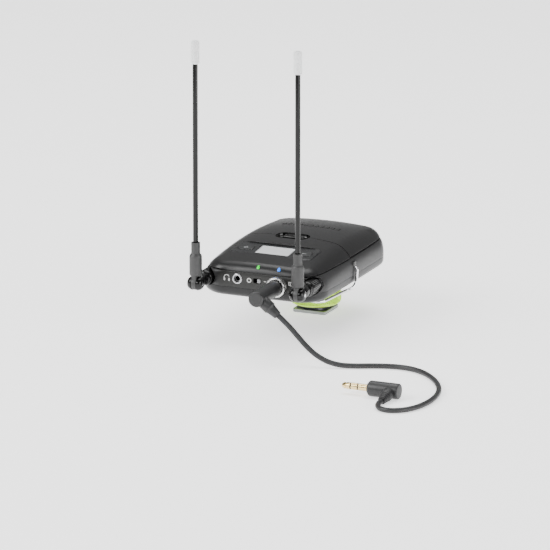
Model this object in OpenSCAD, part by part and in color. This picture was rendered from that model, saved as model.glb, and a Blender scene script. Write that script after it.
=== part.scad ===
// Bodypack wireless receiver with two swivelling whips, a locked output lead
// and an accessory-shoe adapter. Millimetres, +Z up, the jack panel faces -Y.
// Origin: centre of the underside of the shoe foot.

/* [Housing] */
// Width across the side walls
body_w = 68; // [66:0.5:70]
// Length from the jack panel to the hinge end
body_l = 98; // [96:0.5:100]
// Height from the underside to the top of the crown
body_h = 23; // [22.5:0.25:24]
// Corner radius seen from above
corner_r = 15; // [13:0.5:16]
// Wall thickness of the shells
wall = 1.8; // [1.5:0.1:2]
// Height of the lower seam above the underside
seam_low = 5.6; // [5.2:0.1:5.8]
// Height of the upper seam above the underside
seam_high = 14.1; // [14:0.05:14.3]
// Where the battery door begins, back from the middle of the housing
door_line = -2.7; // [-3.2:0.1:-2.5]

/* [Antennas] */
// Distance of each antenna port from the middle
port_x = 28.3; // [28:0.1:28.6]
// Height of the port axis above the underside
port_z = 9.3; // [9:0.1:9.4]
// Distance of the elbow pin in front of the middle of the housing
elbow_y = 61.7; // [61:0.1:63]
// Length of a whip from the elbow pin to its tip
whip_l = 127; // [90:1:140]
// Diameter of the bare whip
whip_d = 2.7; // [2.2:0.1:3]

/* [Lead] */
// Diameter of the lead
cord_d = 2.8; // [2.4:0.1:3]
// Length of the right-angle plug from its locking ring to its flat end
plug_l = 24.6; // [22:0.2:27]

/* [Shoe adapter] */
// Diameter of the thumb wheel
wheel_d = 27; // [24:0.5:30]
// Height of the thumb wheel
wheel_h = 7.2; // [6:0.2:7.2]
// Width of the shoe foot across the rails
foot_w = 18.6; // [18.4:0.05:18.6]
// Length of the shoe foot
foot_l = 18; // [17:0.25:18.5]
// Thickness of the shoe foot
foot_t = 2; // [1.9:0.05:2]

/* [Hidden] */
$fn = 64;

// The housing stands behind and above the shoe foot.
shoe_y = 27;
lift = 24;
eps = 0.01;
half_w = body_w / 2;
half_l = body_l / 2;
front = -half_l;
// Crown of the top: its radii across and along, and its highest place along Y.
crown_across_r = 300;
crown_along_r = 265;
crown_y = 3;
side_edge_r = 6;
end_edge_r = 4.5;
chine_r = 5;
seam_gap = 0.3;
cover_line = door_line - seam_gap;
// Hinge of the battery door, at the rear edge of the upper seam.
hinge_y = half_l - 0.4;
hinge_z = seam_high + 0.6;
hinge_knuckle_r = 1.2;
hinge_pin_r = 0.6;
knuckle_w = 6;
// Pockets that the antenna ports sit in.
pocket_r = 4.7;
pocket_back = -39;
cup_r = 6;
port_r = 3.1;
running = 0.05;
// Display panel: a flat plate let into the crown, tilted a little to the front.
panel_w = 46;
panel_front = -33.5;
panel_back = -17;
panel_front_z = 19.7;
panel_tilt = 3.1;
panel_t = 1;
lcd_w = 19;
lcd_l = 11.5;
key_x = 16.2;
key_w = 8.4;
key_l = 5.6;
// Latch recess, across the line between the cover and the door.
latch_w = 18;
latch_front = -8;
latch_back = 2.2;
latch_floor = 20.8;
// Front row of connectors.
headphone_x = -10.9;
switch_x = 0.3;
output_x = 12;
row_z = 10.3;
output_z = 9;
jack_r = 1.75;
// Circuit board and cells.
board_z = 5.2;
board_t = 1;
cell_r = 7.25;
cell_l = 50.5;
cell_y = [11.6, 27.6];
cell_z = 9.8;
// Antenna elbow.
fork_r = 4.2;
ear_r = 3.7;
ear_slot = 3;
elbow_pin_r = 0.8;
sleeve_base = 4;
// Belt clip.
clip_r = 1;
clip_y = -1.3;
clip_z = 9.2;
// Wire of the belt clip, from its right pivot to the front bar; the left half mirrors it.
clip_route = [
    [31.9, clip_y, clip_z], [34.5, clip_y, clip_z], [35.3, -1.4, 8.5], [35.4, -1.6, 7.4],
    [35.4, -2.2, 3.2], [35.1, -3.1, 1.1], [34.1, -5, -0.6], [32.8, -7.6, -1.3],
    [31.8, -11, -1.45], [30.3, -29, -1.45], [29.6, -31.6, -1.45], [27.9, -33.4, -1.45],
    [25, -34, -1.45], [8, -34, -1.45]
];
clip_level = [0, 0.8, -0.6];
// Shoe adapter, heights above the foot's underside.
rail_t = 1.3;
washer_z = foot_t + rail_t;
washer_t = 1;
wheel_z = washer_z + washer_t + 0.1;
wheel_travel = 2.5;
plate_t = 3;
riser_z = wheel_z + wheel_h + wheel_travel + 0.4;
stud_r = 3;
// Plug of the output lead.
ring_y = front - 0.4;
ring_l = 4;
plug_y = ring_y - ring_l;
branch_y = plug_y - plug_l + 4.6;
branch_angle = 38.5;
branch_l = 13.3;
barrel_r = 4.15;
bushing_r = 3.3;
// Far plug, lying on its side.
far_x = 100.5;
far_y = -138;
far_r = 4;
far_l = 17;
// Lead from the strain relief to the far plug: a drop, then loose curves on the surface.
cord_route = [
    [22.4, -100, 24.7], [25.6, -100, 22.1], [29.6, -100, 18.6], [34, -100, 14.2],
    [38.5, -100, 9.9], [43.5, -99.7, 6.1], [49.5, -99, 3.2], [56, -97.6, 1.8],
    [63, -95.2, 1.5], [70, -92, 1.5], [77, -89.4, 1.5], [84, -88.2, 1.5],
    [91, -89, 1.5], [97.6, -92, 1.5], [103.4, -96.6, 1.5], [109, -102.8, 1.5],
    [114, -110, 1.5], [118, -118, 1.5], [120.6, -126.6, 1.5], [121.8, -135.4, 1.5],
    [121.6, -144.2, 1.5], [119.8, -152.4, 1.5], [116, -159, 1.5], [110.4, -162.6, 1.5],
    [105, -161.8, 1.5], [101.6, -157.8, 1.6], [100.5, -153.8, 1.8], [100.5, -151, 2]
];

module on_body() {
    translate([0, -shoe_y, lift]) children();
}

module slab(x, y, z) {
    translate([x[0], y[0], z[0]]) cube([x[1] - x[0], y[1] - y[0], z[1] - z[0]]);
}

// A rounded plate seen from above, centred on x = 0.
module rounded_plate(w, l, r, h) {
    translate([-w / 2 + r, -l / 2, 0]) cube([w - 2 * r, l, h]);
    translate([-w / 2, -l / 2 + r, 0]) cube([w, l - 2 * r, h]);
    for (x = [-1, 1], y = [-1, 1])
        translate([x * (w / 2 - r), y * (l / 2 - r), 0]) cylinder(r = r, h = h);
}

// A shaft along Y from y0 to y1.
module rod_y(x, z, r, y0, y1) {
    translate([x, max(y0, y1), z]) rotate([90, 0, 0]) cylinder(r = r, h = abs(y1 - y0));
}

// A shaft along X from x0 to x1.
module rod_x(y, z, r, x0, x1) {
    translate([min(x0, x1), y, z]) rotate([0, 90, 0]) cylinder(r = r, h = abs(x1 - x0));
}

// Height of the centre of an edge's rounding, tangent to the crown.
function edge_z(crown_r, edge_r, run, top) = top - crown_r + sqrt(pow(crown_r - edge_r, 2) - pow(run, 2));

// Points along an arc, from one angle to another in n steps.
function arc(x, y, r, from, to, n) =
    [for (i = [0:n]) let (a = from + (to - from) * i / n) [x + r * cos(a), y + r * sin(a)]];

// Half an outline, from the chine up the side and over the rounded edge to the crown.
function half_outline(reach, middle, crown_r, edge_r, inset) = let (
    top = body_h - inset, edge = edge_r - inset, chine = chine_r - inset,
    crown = crown_r - inset, side = reach - inset, run = side - edge - middle,
    tilt = asin(run / (crown - edge))
) concat(
    arc(side - chine, inset + chine, chine, -90, 0, 3),
    arc(side - edge, edge_z(crown, edge, run, top), edge, 0, 90 - tilt, 4),
    arc(middle, top - crown, crown, 90 - tilt, 90, 4)
);
function mirrored(points) = [for (i = [len(points) - 1:-1:0]) [-points[i][0], points[i][1]]];
function outline(reach, middle, crown_r, edge_r, inset) = concat(
    half_outline(reach, middle, crown_r, edge_r, inset),
    mirrored(half_outline(reach, -middle, crown_r, edge_r, inset))
);
function plan(inset) = let (r = corner_r - inset, x = half_w - corner_r, y = half_l - corner_r)
    concat(arc(x, y, r, 0, 90, 8), arc(-x, y, r, 90, 180, 8),
        arc(-x, -y, r, 180, 270, 8), arc(x, -y, r, 270, 360, 8));

// Everything inside the housing's outer face, moved in by inset.
module envelope(inset) {
    intersection() {
        linear_extrude(body_h + 1) polygon(plan(inset));
        translate([0, half_l, 0]) rotate([90, 0, 0]) linear_extrude(body_l)
            polygon(outline(half_w, 0, crown_across_r, side_edge_r, inset));
        translate([-half_w, 0, 0]) rotate([90, 0, 90]) linear_extrude(body_w)
            polygon(outline(half_l, crown_y, crown_along_r, end_edge_r, inset));
    }
}

module shell_between(y, z) {
    difference() {
        intersection() {
            envelope(0);
            slab([-half_w - 1, half_w + 1], y, z);
        }
        envelope(wall);
    }
}

// Tilted frame of the display panel, its upper face at z = 0.
module on_panel() {
    translate([0, panel_front, panel_front_z]) rotate([panel_tilt, 0, 0]) children();
}

module panel_shape(grow, low, high) {
    l = panel_back - panel_front;
    translate([0, l / 2, low]) rounded_plate(panel_w + 2 * grow, l + 2 * grow, 3 + grow, high - low);
}

module lcd_shape(grow, low, high) {
    slab([-lcd_w / 2 - grow, lcd_w / 2 + grow], [2.4 - grow, 2.4 + lcd_l + grow], [low, high]);
}

module key_shape(side, grow, low, high) {
    translate([side * key_x, 8.2, low])
        rounded_plate(key_w + 2 * grow, key_l + 2 * grow, 2.4 + grow, high - low);
}

module latch_recess(low, high) {
    middle = (latch_front + latch_back) / 2;
    translate([0, middle, low])
        rounded_plate(latch_w, latch_back - latch_front, 4.6, high - low);
}

module top_cover() {
    color([0.13, 0.13, 0.14]) on_body() {
        difference() {
            union() {
                shell_between([front - 1, cover_line], [seam_high, body_h + 1]);
                intersection() {
                    envelope(0.9);
                    on_panel() panel_shape(2, -panel_t - 1.4, 2);
                }
                intersection() {
                    envelope(0.9);
                    slab([-11, 11], [latch_front - 2, cover_line], [latch_floor - 1.6, body_h]);
                }
            }
            on_panel() {
                panel_shape(0, -panel_t, 8);
                lcd_shape(0.9, -8, 1);
                for (side = [-1, 1]) translate([side * key_x, 8.2, -8]) cylinder(r = 1.5, h = 9);
            }
            latch_recess(latch_floor, body_h + 2);
            for (x = [0.3, 11.7]) led_seat(x) cylinder(r = 1.1, h = 8, center = true);
        }
    }
}

// A frame on the front edge's rounding, its Z axis square to the surface.
module led_seat(x) {
    edge = edge_z(crown_along_r, end_edge_r, half_l - end_edge_r + crown_y, body_h);
    translate([x, front + end_edge_r, edge]) rotate([48.6, 0, 0])
        translate([0, 0, end_edge_r]) children();
}

module led(x) {
    led_seat(x) {
        translate([0, 0, -3]) cylinder(r = 1.1, h = 3.1);
        translate([0, 0, -3.4]) cylinder(r = 1.4, h = 0.7);
    }
}

module green_led() {
    color([0.35, 0.85, 0.35]) on_body() led(0.3);
}

module blue_led() {
    color([0.25, 0.5, 0.95]) on_body() led(11.7);
}

module cup(side) {
    rod_y(side * port_x, port_z, cup_r, pocket_back + 1.6, front - 1);
}

module screw_boss(x, y, rib_to, low, high) {
    translate([x, y, low]) cylinder(r = 2.3, h = high - low);
    slab([x - 0.6, x + 0.6], [min(y, rib_to), max(y, rib_to)], [low, high]);
}

// Everything inside the housing's walls, between two heights, less the hollow.
module walls_and(low, high) {
    intersection() {
        envelope(0);
        union() {
            difference() {
                slab([-half_w - 1, half_w + 1], [front - 1, half_l + 1], [low, high]);
                envelope(wall);
            }
            children();
        }
    }
}

module hinge_knuckle(x) {
    from = x - knuckle_w / 2;
    to = x + knuckle_w / 2;
    rod_x(hinge_y, hinge_z, hinge_knuckle_r, from, to);
    slab([from, to], [hinge_y - 0.9, hinge_y + 0.3], [seam_high - 1, hinge_z]);
}

module mid_frame() {
    color([0.42, 0.42, 0.43]) on_body() difference() {
        union() {
            walls_and(seam_low, seam_high) {
                intersection() {
                    slab([-half_w, half_w], [front, half_l], [seam_low, seam_high]);
                    for (side = [-1, 1]) cup(side);
                }
                slab([-half_w, half_w], [1.2, 2.4], [seam_low, seam_high]);
                for (side = [-1, 1]) {
                    screw_boss(side * 19.2, -43.4, front, seam_low, 12.4);
                    screw_boss(side * 27, 40.4, half_l, seam_low, 12.4);
                }
            }
            for (x = [-17.4, 0, 17.4]) hinge_knuckle(x);
        }
        for (side = [-1, 1]) {
            rod_y(side * port_x, port_z, pocket_r, pocket_back, front - 2);
            rod_y(side * port_x, port_z, port_r, pocket_back + 3, pocket_back - 1);
            clip_pocket(side);
            translate([side * 19.2, -43.4, seam_low - 1]) cylinder(r = 1, h = 7.4);
            translate([side * 27, 40.4, seam_low - 1]) cylinder(r = 1, h = 7.4);
            rod_x(hinge_y, hinge_z, 1.6, side * 3.2, side * 14.2);
        }
        rod_y(headphone_x, row_z, 2.75, front + 3, front - 1);
        rod_y(output_x, output_z, bushing_r, front + 3, front - 1);
        slab([switch_x - 2.15, switch_x + 2.15], [front - 1, front + 3], [row_z - 1.25, row_z + 1.25]);
        rod_x(hinge_y, hinge_z, hinge_pin_r, -21, 21);
    }
}

module clip_pocket(side) {
    translate([side * (half_w - 1.1), clip_y, clip_z])
        slab([-1.3, 1.3], [-1.8, 1.8], [-3.4, 3.4]);
}

module clip_bushes() {
    color([0.05, 0.05, 0.05]) on_body() for (side = [-1, 1]) difference() {
        translate([side * (half_w - 1.3), clip_y, clip_z])
            slab([-1.1, 1.1], [-1.8, 1.8], [-3.4, 3.4]);
        rod_x(clip_y, clip_z, clip_r + running, side * (half_w - 3), side * (half_w + 1));
    }
}

module cell_cradle(y) {
    difference() {
        slab([-1, 1], [y - 6, y + 6], [wall - eps, 5]);
        rod_x(y, cell_z, cell_r, -30, 30);
    }
}

module bottom_shell() {
    color([0.12, 0.12, 0.13]) on_body() difference() {
        union() {
            shell_between([front - 1, half_l + 1], [-1, seam_low]);
            for (y = cell_y, x = [-18, 18]) translate([x, 0, 0]) cell_cradle(y);
            for (side = [-1, 1]) {
                screw_boss(side * 19.2, -43.4, front + wall + 1, wall - eps, seam_low);
                screw_boss(side * 27, 40.4, 41, wall - eps, seam_low);
                for (y = [-33, -8])
                    translate([side * 27, y, wall - eps]) cylinder(r = 2.2, h = board_z - wall + eps);
            }
        }
        for (side = [-1, 1]) {
            rod_y(side * port_x, port_z, pocket_r, pocket_back, front - 2);
            translate([side * 19.2, -43.4, -1]) cylinder(r = 1, h = 8);
            translate([side * 19.2, -43.4, -1]) cylinder(r = 1.9, h = 2.2);
            translate([side * 27, 40.4, -1]) cylinder(r = 1, h = 8);
            translate([side * 27, 40.4, -1]) cylinder(r = 1.9, h = 2.2);
            for (y = [-33, -8]) translate([side * 27, y, 1.6]) cylinder(r = 0.8, h = 5);
            for (y = [13, 41]) translate([side * 18, y, -1]) cylinder(r = 1.2, h = 2.6);
        }
    }
}

module battery_door() {
    color([0.14, 0.14, 0.15]) on_body() {
        difference() {
            union() {
                shell_between([door_line, half_l + 1], [seam_high + seam_gap, body_h + 1]);
                intersection() {
                    envelope(0.9);
                    slab([-11, 11], [door_line, latch_back + 2], [latch_floor - 1.6, body_h]);
                }
            }
            latch_recess(latch_floor, body_h + 2);
            slab([-2.3, 2.3], [-2.2, 1.4], [16, body_h]);
            rod_x(hinge_y, hinge_z, 1.6, -21, 21);
        }
        for (side = [-1, 1]) difference() {
            union() {
                rod_x(hinge_y, hinge_z, hinge_knuckle_r, side * 3.3, side * 14.1);
                intersection() {
                    envelope(0);
                    translate([side * 8.7, 0, 0])
                        slab([-5.4, 5.4], [hinge_y - 1, half_l], [hinge_z, hinge_z + 2.6]);
                }
            }
            rod_x(hinge_y, hinge_z, hinge_pin_r + running, side * 2, side * 16);
        }
    }
}

module door_hinge_pin() {
    color([0.7, 0.7, 0.72]) on_body() rod_x(hinge_y, hinge_z, hinge_pin_r, -20.4, 20.4);
}

module door_latch() {
    color([0.06, 0.06, 0.07]) on_body() {
        slab([-6, 6], [-2.4, 0.5], [latch_floor + 0.1, latch_floor + 1.3]);
        slab([-1.9, 1.9], [-1.9, -0.4], [17.6, latch_floor + 0.2]);
        slab([-4, 4], [-2.4, 0.2], [16.6, 18]);
    }
}

module housing_screws() {
    color([0.55, 0.55, 0.57]) on_body() for (side = [-1, 1], p = [[19.2, -43.4], [27, 40.4]]) {
        translate([side * p[0], p[1], 0.2]) difference() {
            cylinder(r = 1.9, h = 1);
            slab([-1.3, 1.3], [-0.25, 0.25], [-1, 0.5]);
            slab([-0.25, 0.25], [-1.3, 1.3], [-1, 0.5]);
        }
        translate([side * p[0], p[1], 1.1]) cylinder(r = 1, h = 10.6);
    }
}

module display_bezel() {
    color([0.35, 0.36, 0.37]) on_body() on_panel() difference() {
        panel_shape(0, -panel_t, 0);
        lcd_shape(0, -3, 1);
        for (side = [-1, 1]) key_shape(side, 0.25, -3, 1);
    }
}

module lcd_module() {
    color([0.78, 0.79, 0.78]) on_body() on_panel() {
        lcd_shape(0, -panel_t - eps, -0.2);
        lcd_shape(0.8, -3.4, -panel_t);
    }
}

module key(side) {
    color([0.3, 0.31, 0.32]) on_body() on_panel() {
        key_shape(side, 0, -0.55, 0.2);
        translate([side * key_x, 8.2, -3.6]) cylinder(r = 1.2, h = 3.2);
    }
}

module left_key() {
    key(-1);
}

module right_key() {
    key(1);
}

module main_board() {
    color([0.1, 0.35, 0.2]) on_body() difference() {
        union() {
            slab([-16.4, 16.4], [front + wall + 0.2, -35], [board_z, board_z + board_t]);
            slab([-31, 31], [-36.8, -4.4], [board_z, board_z + board_t]);
        }
        for (side = [-1, 1], y = [-33, -8])
            translate([side * 27, y, board_z - 1]) cylinder(r = 0.8, h = 4);
    }
}

module board_screws() {
    color([0.6, 0.6, 0.62]) on_body() for (side = [-1, 1], y = [-33, -8]) {
        translate([side * 27, y, 2]) cylinder(r = 0.8, h = board_z + board_t - 2 + eps);
        translate([side * 27, y, board_z + board_t]) cylinder(r = 1.6, h = 1);
    }
}

module rf_shield() {
    top = board_z + board_t;
    color([0.7, 0.7, 0.7]) on_body() difference() {
        slab([-20, 20], [-31, -8], [top, top + 3.4]);
        slab([-19.7, 19.7], [-30.7, -8.3], [top - 1, top + 3.1]);
        for (x = [-14, 0, 14]) translate([x, -19.5, top]) cylinder(r = 1.2, h = 5);
    }
}

module cell(y, turn) {
    color([0.75, 0.62, 0.3]) on_body() translate([0, y, cell_z]) rotate([0, turn, 0]) {
        translate([0, 0, -cell_l / 2]) cylinder(r = cell_r, h = cell_l - 1.2);
        translate([0, 0, cell_l / 2 - 1.3]) cylinder(r = 2.7, h = 1.3);
    }
}

module front_cell() {
    cell(cell_y[0], 90);
}

module rear_cell() {
    cell(cell_y[1], -90);
}

// Contact plate with a coned spring for the flat end of one cell.
module contact_pair(side, spring_y) {
    x = side * (cell_l / 2 + 2.2);
    translate([x, (cell_y[0] + cell_y[1]) / 2, cell_z])
        slab([-0.2, 0.2], [-14, 14], [-5, 4]);
    translate([side * (cell_l / 2 + 0.1), spring_y, cell_z]) rotate([0, side * 90, 0])
        for (turn = [0:3]) translate([0, 0, 0.5 + turn * 0.45]) rotate_extrude()
            translate([2 + turn * 0.4, 0]) circle(r = 0.32, $fn = 16);
}

module left_contacts() {
    color([0.8, 0.78, 0.7]) on_body() contact_pair(-1, cell_y[0]);
}

module right_contacts() {
    color([0.8, 0.78, 0.7]) on_body() contact_pair(1, cell_y[1]);
}

module headphone_jack() {
    color([0.08, 0.08, 0.08]) on_body() difference() {
        union() {
            slab([headphone_x - 3.5, headphone_x + 3.5], [front + wall, front + 14],
                [board_z + board_t, 13.4]);
            rod_y(headphone_x, row_z, 2.75, front + wall + 1, front + 0.3);
        }
        rod_y(headphone_x, row_z, jack_r, front + 13, front - 1);
    }
}

module headphone_bezel() {
    color([0.85, 0.85, 0.86]) on_body() difference() {
        rod_y(headphone_x, row_z, 2.75, front + 0.3, front - 0.35);
        rod_y(headphone_x, row_z, jack_r, front + 1, front - 1);
    }
}

module power_switch_body() {
    color([0.05, 0.05, 0.05]) on_body() difference() {
        slab([switch_x - 3.6, switch_x + 3.6], [front + wall, front + 6], [board_z + board_t, 12.6]);
        slab([switch_x - 2.4, switch_x + 2.4], [front + 1, front + 5], [row_z - 1.4, row_z + 1.4]);
    }
}

module power_switch_knob() {
    color([0.6, 0.6, 0.6]) on_body() {
        slab([0.4, 2.1], [front - 0.3, front + 3.5], [row_z - 0.9, row_z + 0.9]);
        slab([0.1, 2.4], [front + 2.2, front + 4.6], [row_z - 1.15, row_z + 1.15]);
    }
}

module output_jack() {
    color([0.8, 0.8, 0.8]) on_body() difference() {
        union() {
            slab([output_x - 4, output_x + 4], [front + wall, front + 18], [board_z + board_t, 12.8]);
            rod_y(output_x, output_z, bushing_r, front + wall + 0.1, front - 2.6);
        }
        rod_y(output_x, output_z, jack_r + running, front + 17, front - 4);
    }
}

module port(side) {
    color([0.78, 0.62, 0.28]) on_body() {
        rod_y(side * port_x, port_z, port_r, pocket_back + 1.6, pocket_back - 9);
        rod_y(side * port_x, port_z, 3.9, pocket_back, pocket_back - 1);
    }
}

module left_port() {
    port(-1);
}

module right_port() {
    port(1);
}

// Coupling nut, neck and two domed ears round the elbow pin.
module antenna_base(side) {
    color([0.04, 0.04, 0.04]) on_body() translate([side * port_x, 0, port_z]) difference() {
        union() {
            rod_y(0, 0, 4.1, pocket_back - 1.8, pocket_back - 12);
            rod_y(0, 0, 3.4, pocket_back - 12 + eps, -elbow_y + 2);
            translate([0, -elbow_y, 0]) rotate([0, 90, 0]) rotate_extrude() polygon([
                [0, -fork_r], [2.4, -fork_r], [ear_r, -2.6], [ear_r, 2.6], [2.4, fork_r], [0, fork_r]
            ]);
        }
        rod_y(0, 0, port_r + running, pocket_back - 1, pocket_back - 9.6);
        slab([-ear_slot / 2, ear_slot / 2], [-elbow_y - 6, -elbow_y + 4.1], [-6, 6]);
        rod_x(-elbow_y, 0, elbow_pin_r, -6, 6);
    }
}

module left_antenna_base() {
    antenna_base(-1);
}

module right_antenna_base() {
    antenna_base(1);
}

module antenna_pin(side) {
    color([0.75, 0.75, 0.77]) on_body() translate([side * port_x, 0, port_z])
        rod_x(-elbow_y, 0, elbow_pin_r, -4.05, 4.05);
}

module left_antenna_pin() {
    antenna_pin(-1);
}

module right_antenna_pin() {
    antenna_pin(1);
}

// A frame at the elbow pin, the whip along +Z.
module on_elbow(side) {
    on_body() translate([side * port_x, -elbow_y, port_z]) children();
}

module antenna_sleeve(side) {
    color([0.3, 0.3, 0.3]) on_elbow(side) difference() {
        union() {
            rod_x(0, 0, 3.5, -1.3, 1.3);
            slab([-1.3, 1.3], [-2.4, 2.4], [0, sleeve_base + 1]);
            rotate_extrude() polygon([
                [0, sleeve_base], [2.9, sleeve_base], [3.25, sleeve_base + 0.8], [3.25, 14.6],
                [2.3, 15.8], [2.3, 21.6], [0, 21.6]
            ]);
        }
        rod_x(0, 0, elbow_pin_r + running, -6, 6);
        translate([0, 0, 8]) cylinder(d = whip_d, h = 20);
    }
}

module left_antenna_sleeve() {
    antenna_sleeve(-1);
}

module right_antenna_sleeve() {
    antenna_sleeve(1);
}

module whip(side) {
    color([0.08, 0.08, 0.08]) on_elbow(side) translate([0, 0, 8]) cylinder(d = whip_d, h = whip_l - 8 - 5);
}

module left_whip() {
    whip(-1);
}

module right_whip() {
    whip(1);
}

module whip_tip(side) {
    color([0.93, 0.94, 0.94]) on_elbow(side) difference() {
        rotate_extrude() polygon([
            [0, whip_l - 12], [1.9, whip_l - 12], [2.2, whip_l - 11.6], [2.2, whip_l - 1.2],
            [1.8, whip_l - 0.4], [1, whip_l], [0, whip_l]
        ]);
        translate([0, 0, whip_l - 13]) cylinder(d = whip_d, h = 8);
    }
}

module left_whip_tip() {
    whip_tip(-1);
}

module right_whip_tip() {
    whip_tip(1);
}

module belt_clip() {
    color([0.8, 0.8, 0.82]) on_body()
        tube(concat(clip_route, mirrored_3d(clip_route)), clip_r, 12, clip_level);
}

module mount_plate() {
    color([0.16, 0.16, 0.17]) translate([0, 0, lift - plate_t]) difference() {
        rounded_plate(44, 36, 4, plate_t);
        for (x = [-18, 18], y = [-14, 14]) translate([x, y, -1]) {
            cylinder(r = 1.2, h = plate_t + 2);
            cylinder(r = 2.2, h = 2.3);
        }
    }
}

module mount_screws() {
    color([0.6, 0.6, 0.62]) translate([0, 0, lift - plate_t]) for (x = [-18, 18], y = [-14, 14])
        translate([x, y, 0.1]) difference() {
            union() {
                cylinder(r = 2.2, h = 1.2);
                cylinder(r = 1.2, h = plate_t + 1.4);
            }
            slab([-1.4, 1.4], [-0.3, 0.3], [-1, 0.6]);
            slab([-0.3, 0.3], [-1.4, 1.4], [-1, 0.6]);
        }
}

module mount_riser() {
    top = lift - plate_t;
    color([0.14, 0.14, 0.15]) difference() {
        rotate_extrude() polygon([
            [0, riser_z], [10, riser_z], [11, riser_z + 1], [11, top - 2], [13, top], [0, top]
        ]);
        translate([0, 0, riser_z - 1]) cylinder(r = stud_r, h = 5);
    }
}

module mount_stud() {
    color([0.7, 0.7, 0.72]) translate([0, 0, 0.8]) cylinder(r = stud_r, h = riser_z + 4 - 0.8);
}

module thumb_wheel() {
    r = wheel_d / 2;
    color([0.78, 0.9, 0.45]) translate([0, 0, wheel_z]) difference() {
        rotate_extrude() polygon([
            [0, 0], [r - 0.8, 0], [r, 0.6], [r, wheel_h - 0.6], [r - 0.8, wheel_h], [0, wheel_h]
        ]);
        translate([0, 0, -1]) cylinder(r = stud_r + running, h = wheel_h + 2);
    }
}

module clamp_washer() {
    color([0.12, 0.12, 0.12]) translate([0, 0, washer_z]) difference() {
        cylinder(r = 10, h = washer_t);
        translate([0, 0, -1]) cylinder(r = stud_r + running, h = washer_t + 2);
    }
}

module shoe_foot() {
    color([0.35, 0.36, 0.37]) difference() {
        union() {
            rounded_plate(foot_w, foot_l, 1.2, foot_t);
            cylinder(r = 6, h = foot_t + rail_t - 0.2);
        }
        translate([0, 0, 0.8]) cylinder(r = stud_r, h = 5);
    }
}

module plug_pin() {
    color([0.83, 0.75, 0.5]) on_body() {
        rod_y(output_x, output_z, jack_r, plug_y, front + 12);
        translate([output_x, front + 12 - eps, output_z]) rotate([-90, 0, 0])
            cylinder(r1 = jack_r, r2 = 0.6, h = 1.6);
    }
}

module locking_ring() {
    color([0.82, 0.82, 0.83]) on_body() translate([output_x, ring_y, output_z]) rotate([90, 0, 0])
        difference() {
            rotate_extrude() polygon([
                [0, 0], [4.9, 0], [5.3, 0.4], [5.3, ring_l - 0.4], [4.9, ring_l], [0, ring_l]
            ]);
            translate([0, 0, -1]) cylinder(r = bushing_r + running, h = 3.4);
            translate([0, 0, -1]) cylinder(r = 2.2 + running, h = ring_l + 2);
        }
}

// Barrel with its flat end, and the collar that the locking ring turns on.
module plug_barrel() {
    color([0.14, 0.14, 0.15]) on_body() difference() {
        union() {
            rod_y(output_x, output_z, barrel_r, plug_y - 0.3, plug_y - plug_l);
            rod_y(output_x, output_z, 2.2, ring_y - 2.6, plug_y - 1);
        }
        rod_y(output_x, output_z, jack_r, ring_y, plug_y);
    }
}

// A frame on the barrel's axis, +Z along the strain relief.
module on_branch() {
    on_body() translate([output_x, branch_y, output_z]) rotate([0, 90 + branch_angle, 0]) children();
}

module plug_strain_relief() {
    color([0.12, 0.12, 0.13]) on_branch() difference() {
        rotate_extrude() polygon([
            [0, 3.6], [3.3, 3.6], [3.3, 8], [2.6, 9.6], [2.1, branch_l], [0, branch_l]
        ]);
        rotate([0, -90 - branch_angle, 0]) rod_y(0, 0, barrel_r, -9, 9);
    }
}

// Rings of a round tube along a route; level is a direction that the route never takes.
function unit(v) = v / norm(v);
function mirrored_3d(p) = [for (i = [len(p) - 1:-1:0]) [-p[i][0], p[i][1], p[i][2]]];
function tangent(p, i) = unit(p[min(i + 1, len(p) - 1)] - p[max(i - 1, 0)]);
function ring(p, i, r, n, level) = let (t = tangent(p, i), s = unit(cross(t, level)), u = cross(s, t))
    [for (k = [0:n - 1]) p[i] + r * (cos(360 * k / n) * s + sin(360 * k / n) * u)];

module tube(p, r, n, level) {
    last = len(p) - 1;
    points = [for (i = [0:last]) each ring(p, i, r, n, level)];
    walls = [for (i = [0:last - 1], k = [0:n - 1]) each
        [[i * n + k, (i + 1) * n + (k + 1) % n, i * n + (k + 1) % n],
         [i * n + k, (i + 1) * n + k, (i + 1) * n + (k + 1) % n]]];
    start = [[for (k = [0:n - 1]) k]];
    finish = [[for (k = [0:n - 1]) last * n + n - 1 - k]];
    polyhedron(points = points, faces = concat(walls, start, finish));
}

module cord() {
    color([0.16, 0.16, 0.17]) tube(cord_route, cord_d / 2, 8, [0, 0, 1]);
}

// A frame at the far plug's branch, the barrel along -X.
module on_far_plug() {
    translate([far_x, far_y, far_r + 0.1]) children();
}

module far_plug_barrel() {
    color([0.16, 0.16, 0.17]) on_far_plug() rod_x(0, 0, far_r, 4.5, 4.5 - far_l);
}

module far_plug_pin() {
    color([0.83, 0.75, 0.5]) on_far_plug() {
        rod_x(0, 0, jack_r, 4.5 - far_l, 4.5 - far_l - 12.4);
        translate([4.5 - far_l - 12.4 + eps, 0, 0]) rotate([0, -90, 0])
            cylinder(r1 = jack_r, r2 = 0.6, h = 1.6);
    }
}

module far_strain_relief() {
    color([0.16, 0.16, 0.17]) on_far_plug() difference() {
        rotate([99.1, 0, 0]) rotate_extrude() polygon([
            [0, 3.4], [3.1, 3.4], [3.1, 7], [2.5, 8.6], [1.9, 13], [0, 13]
        ]);
        rod_x(0, 0, far_r, -9, 9);
    }
}

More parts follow.
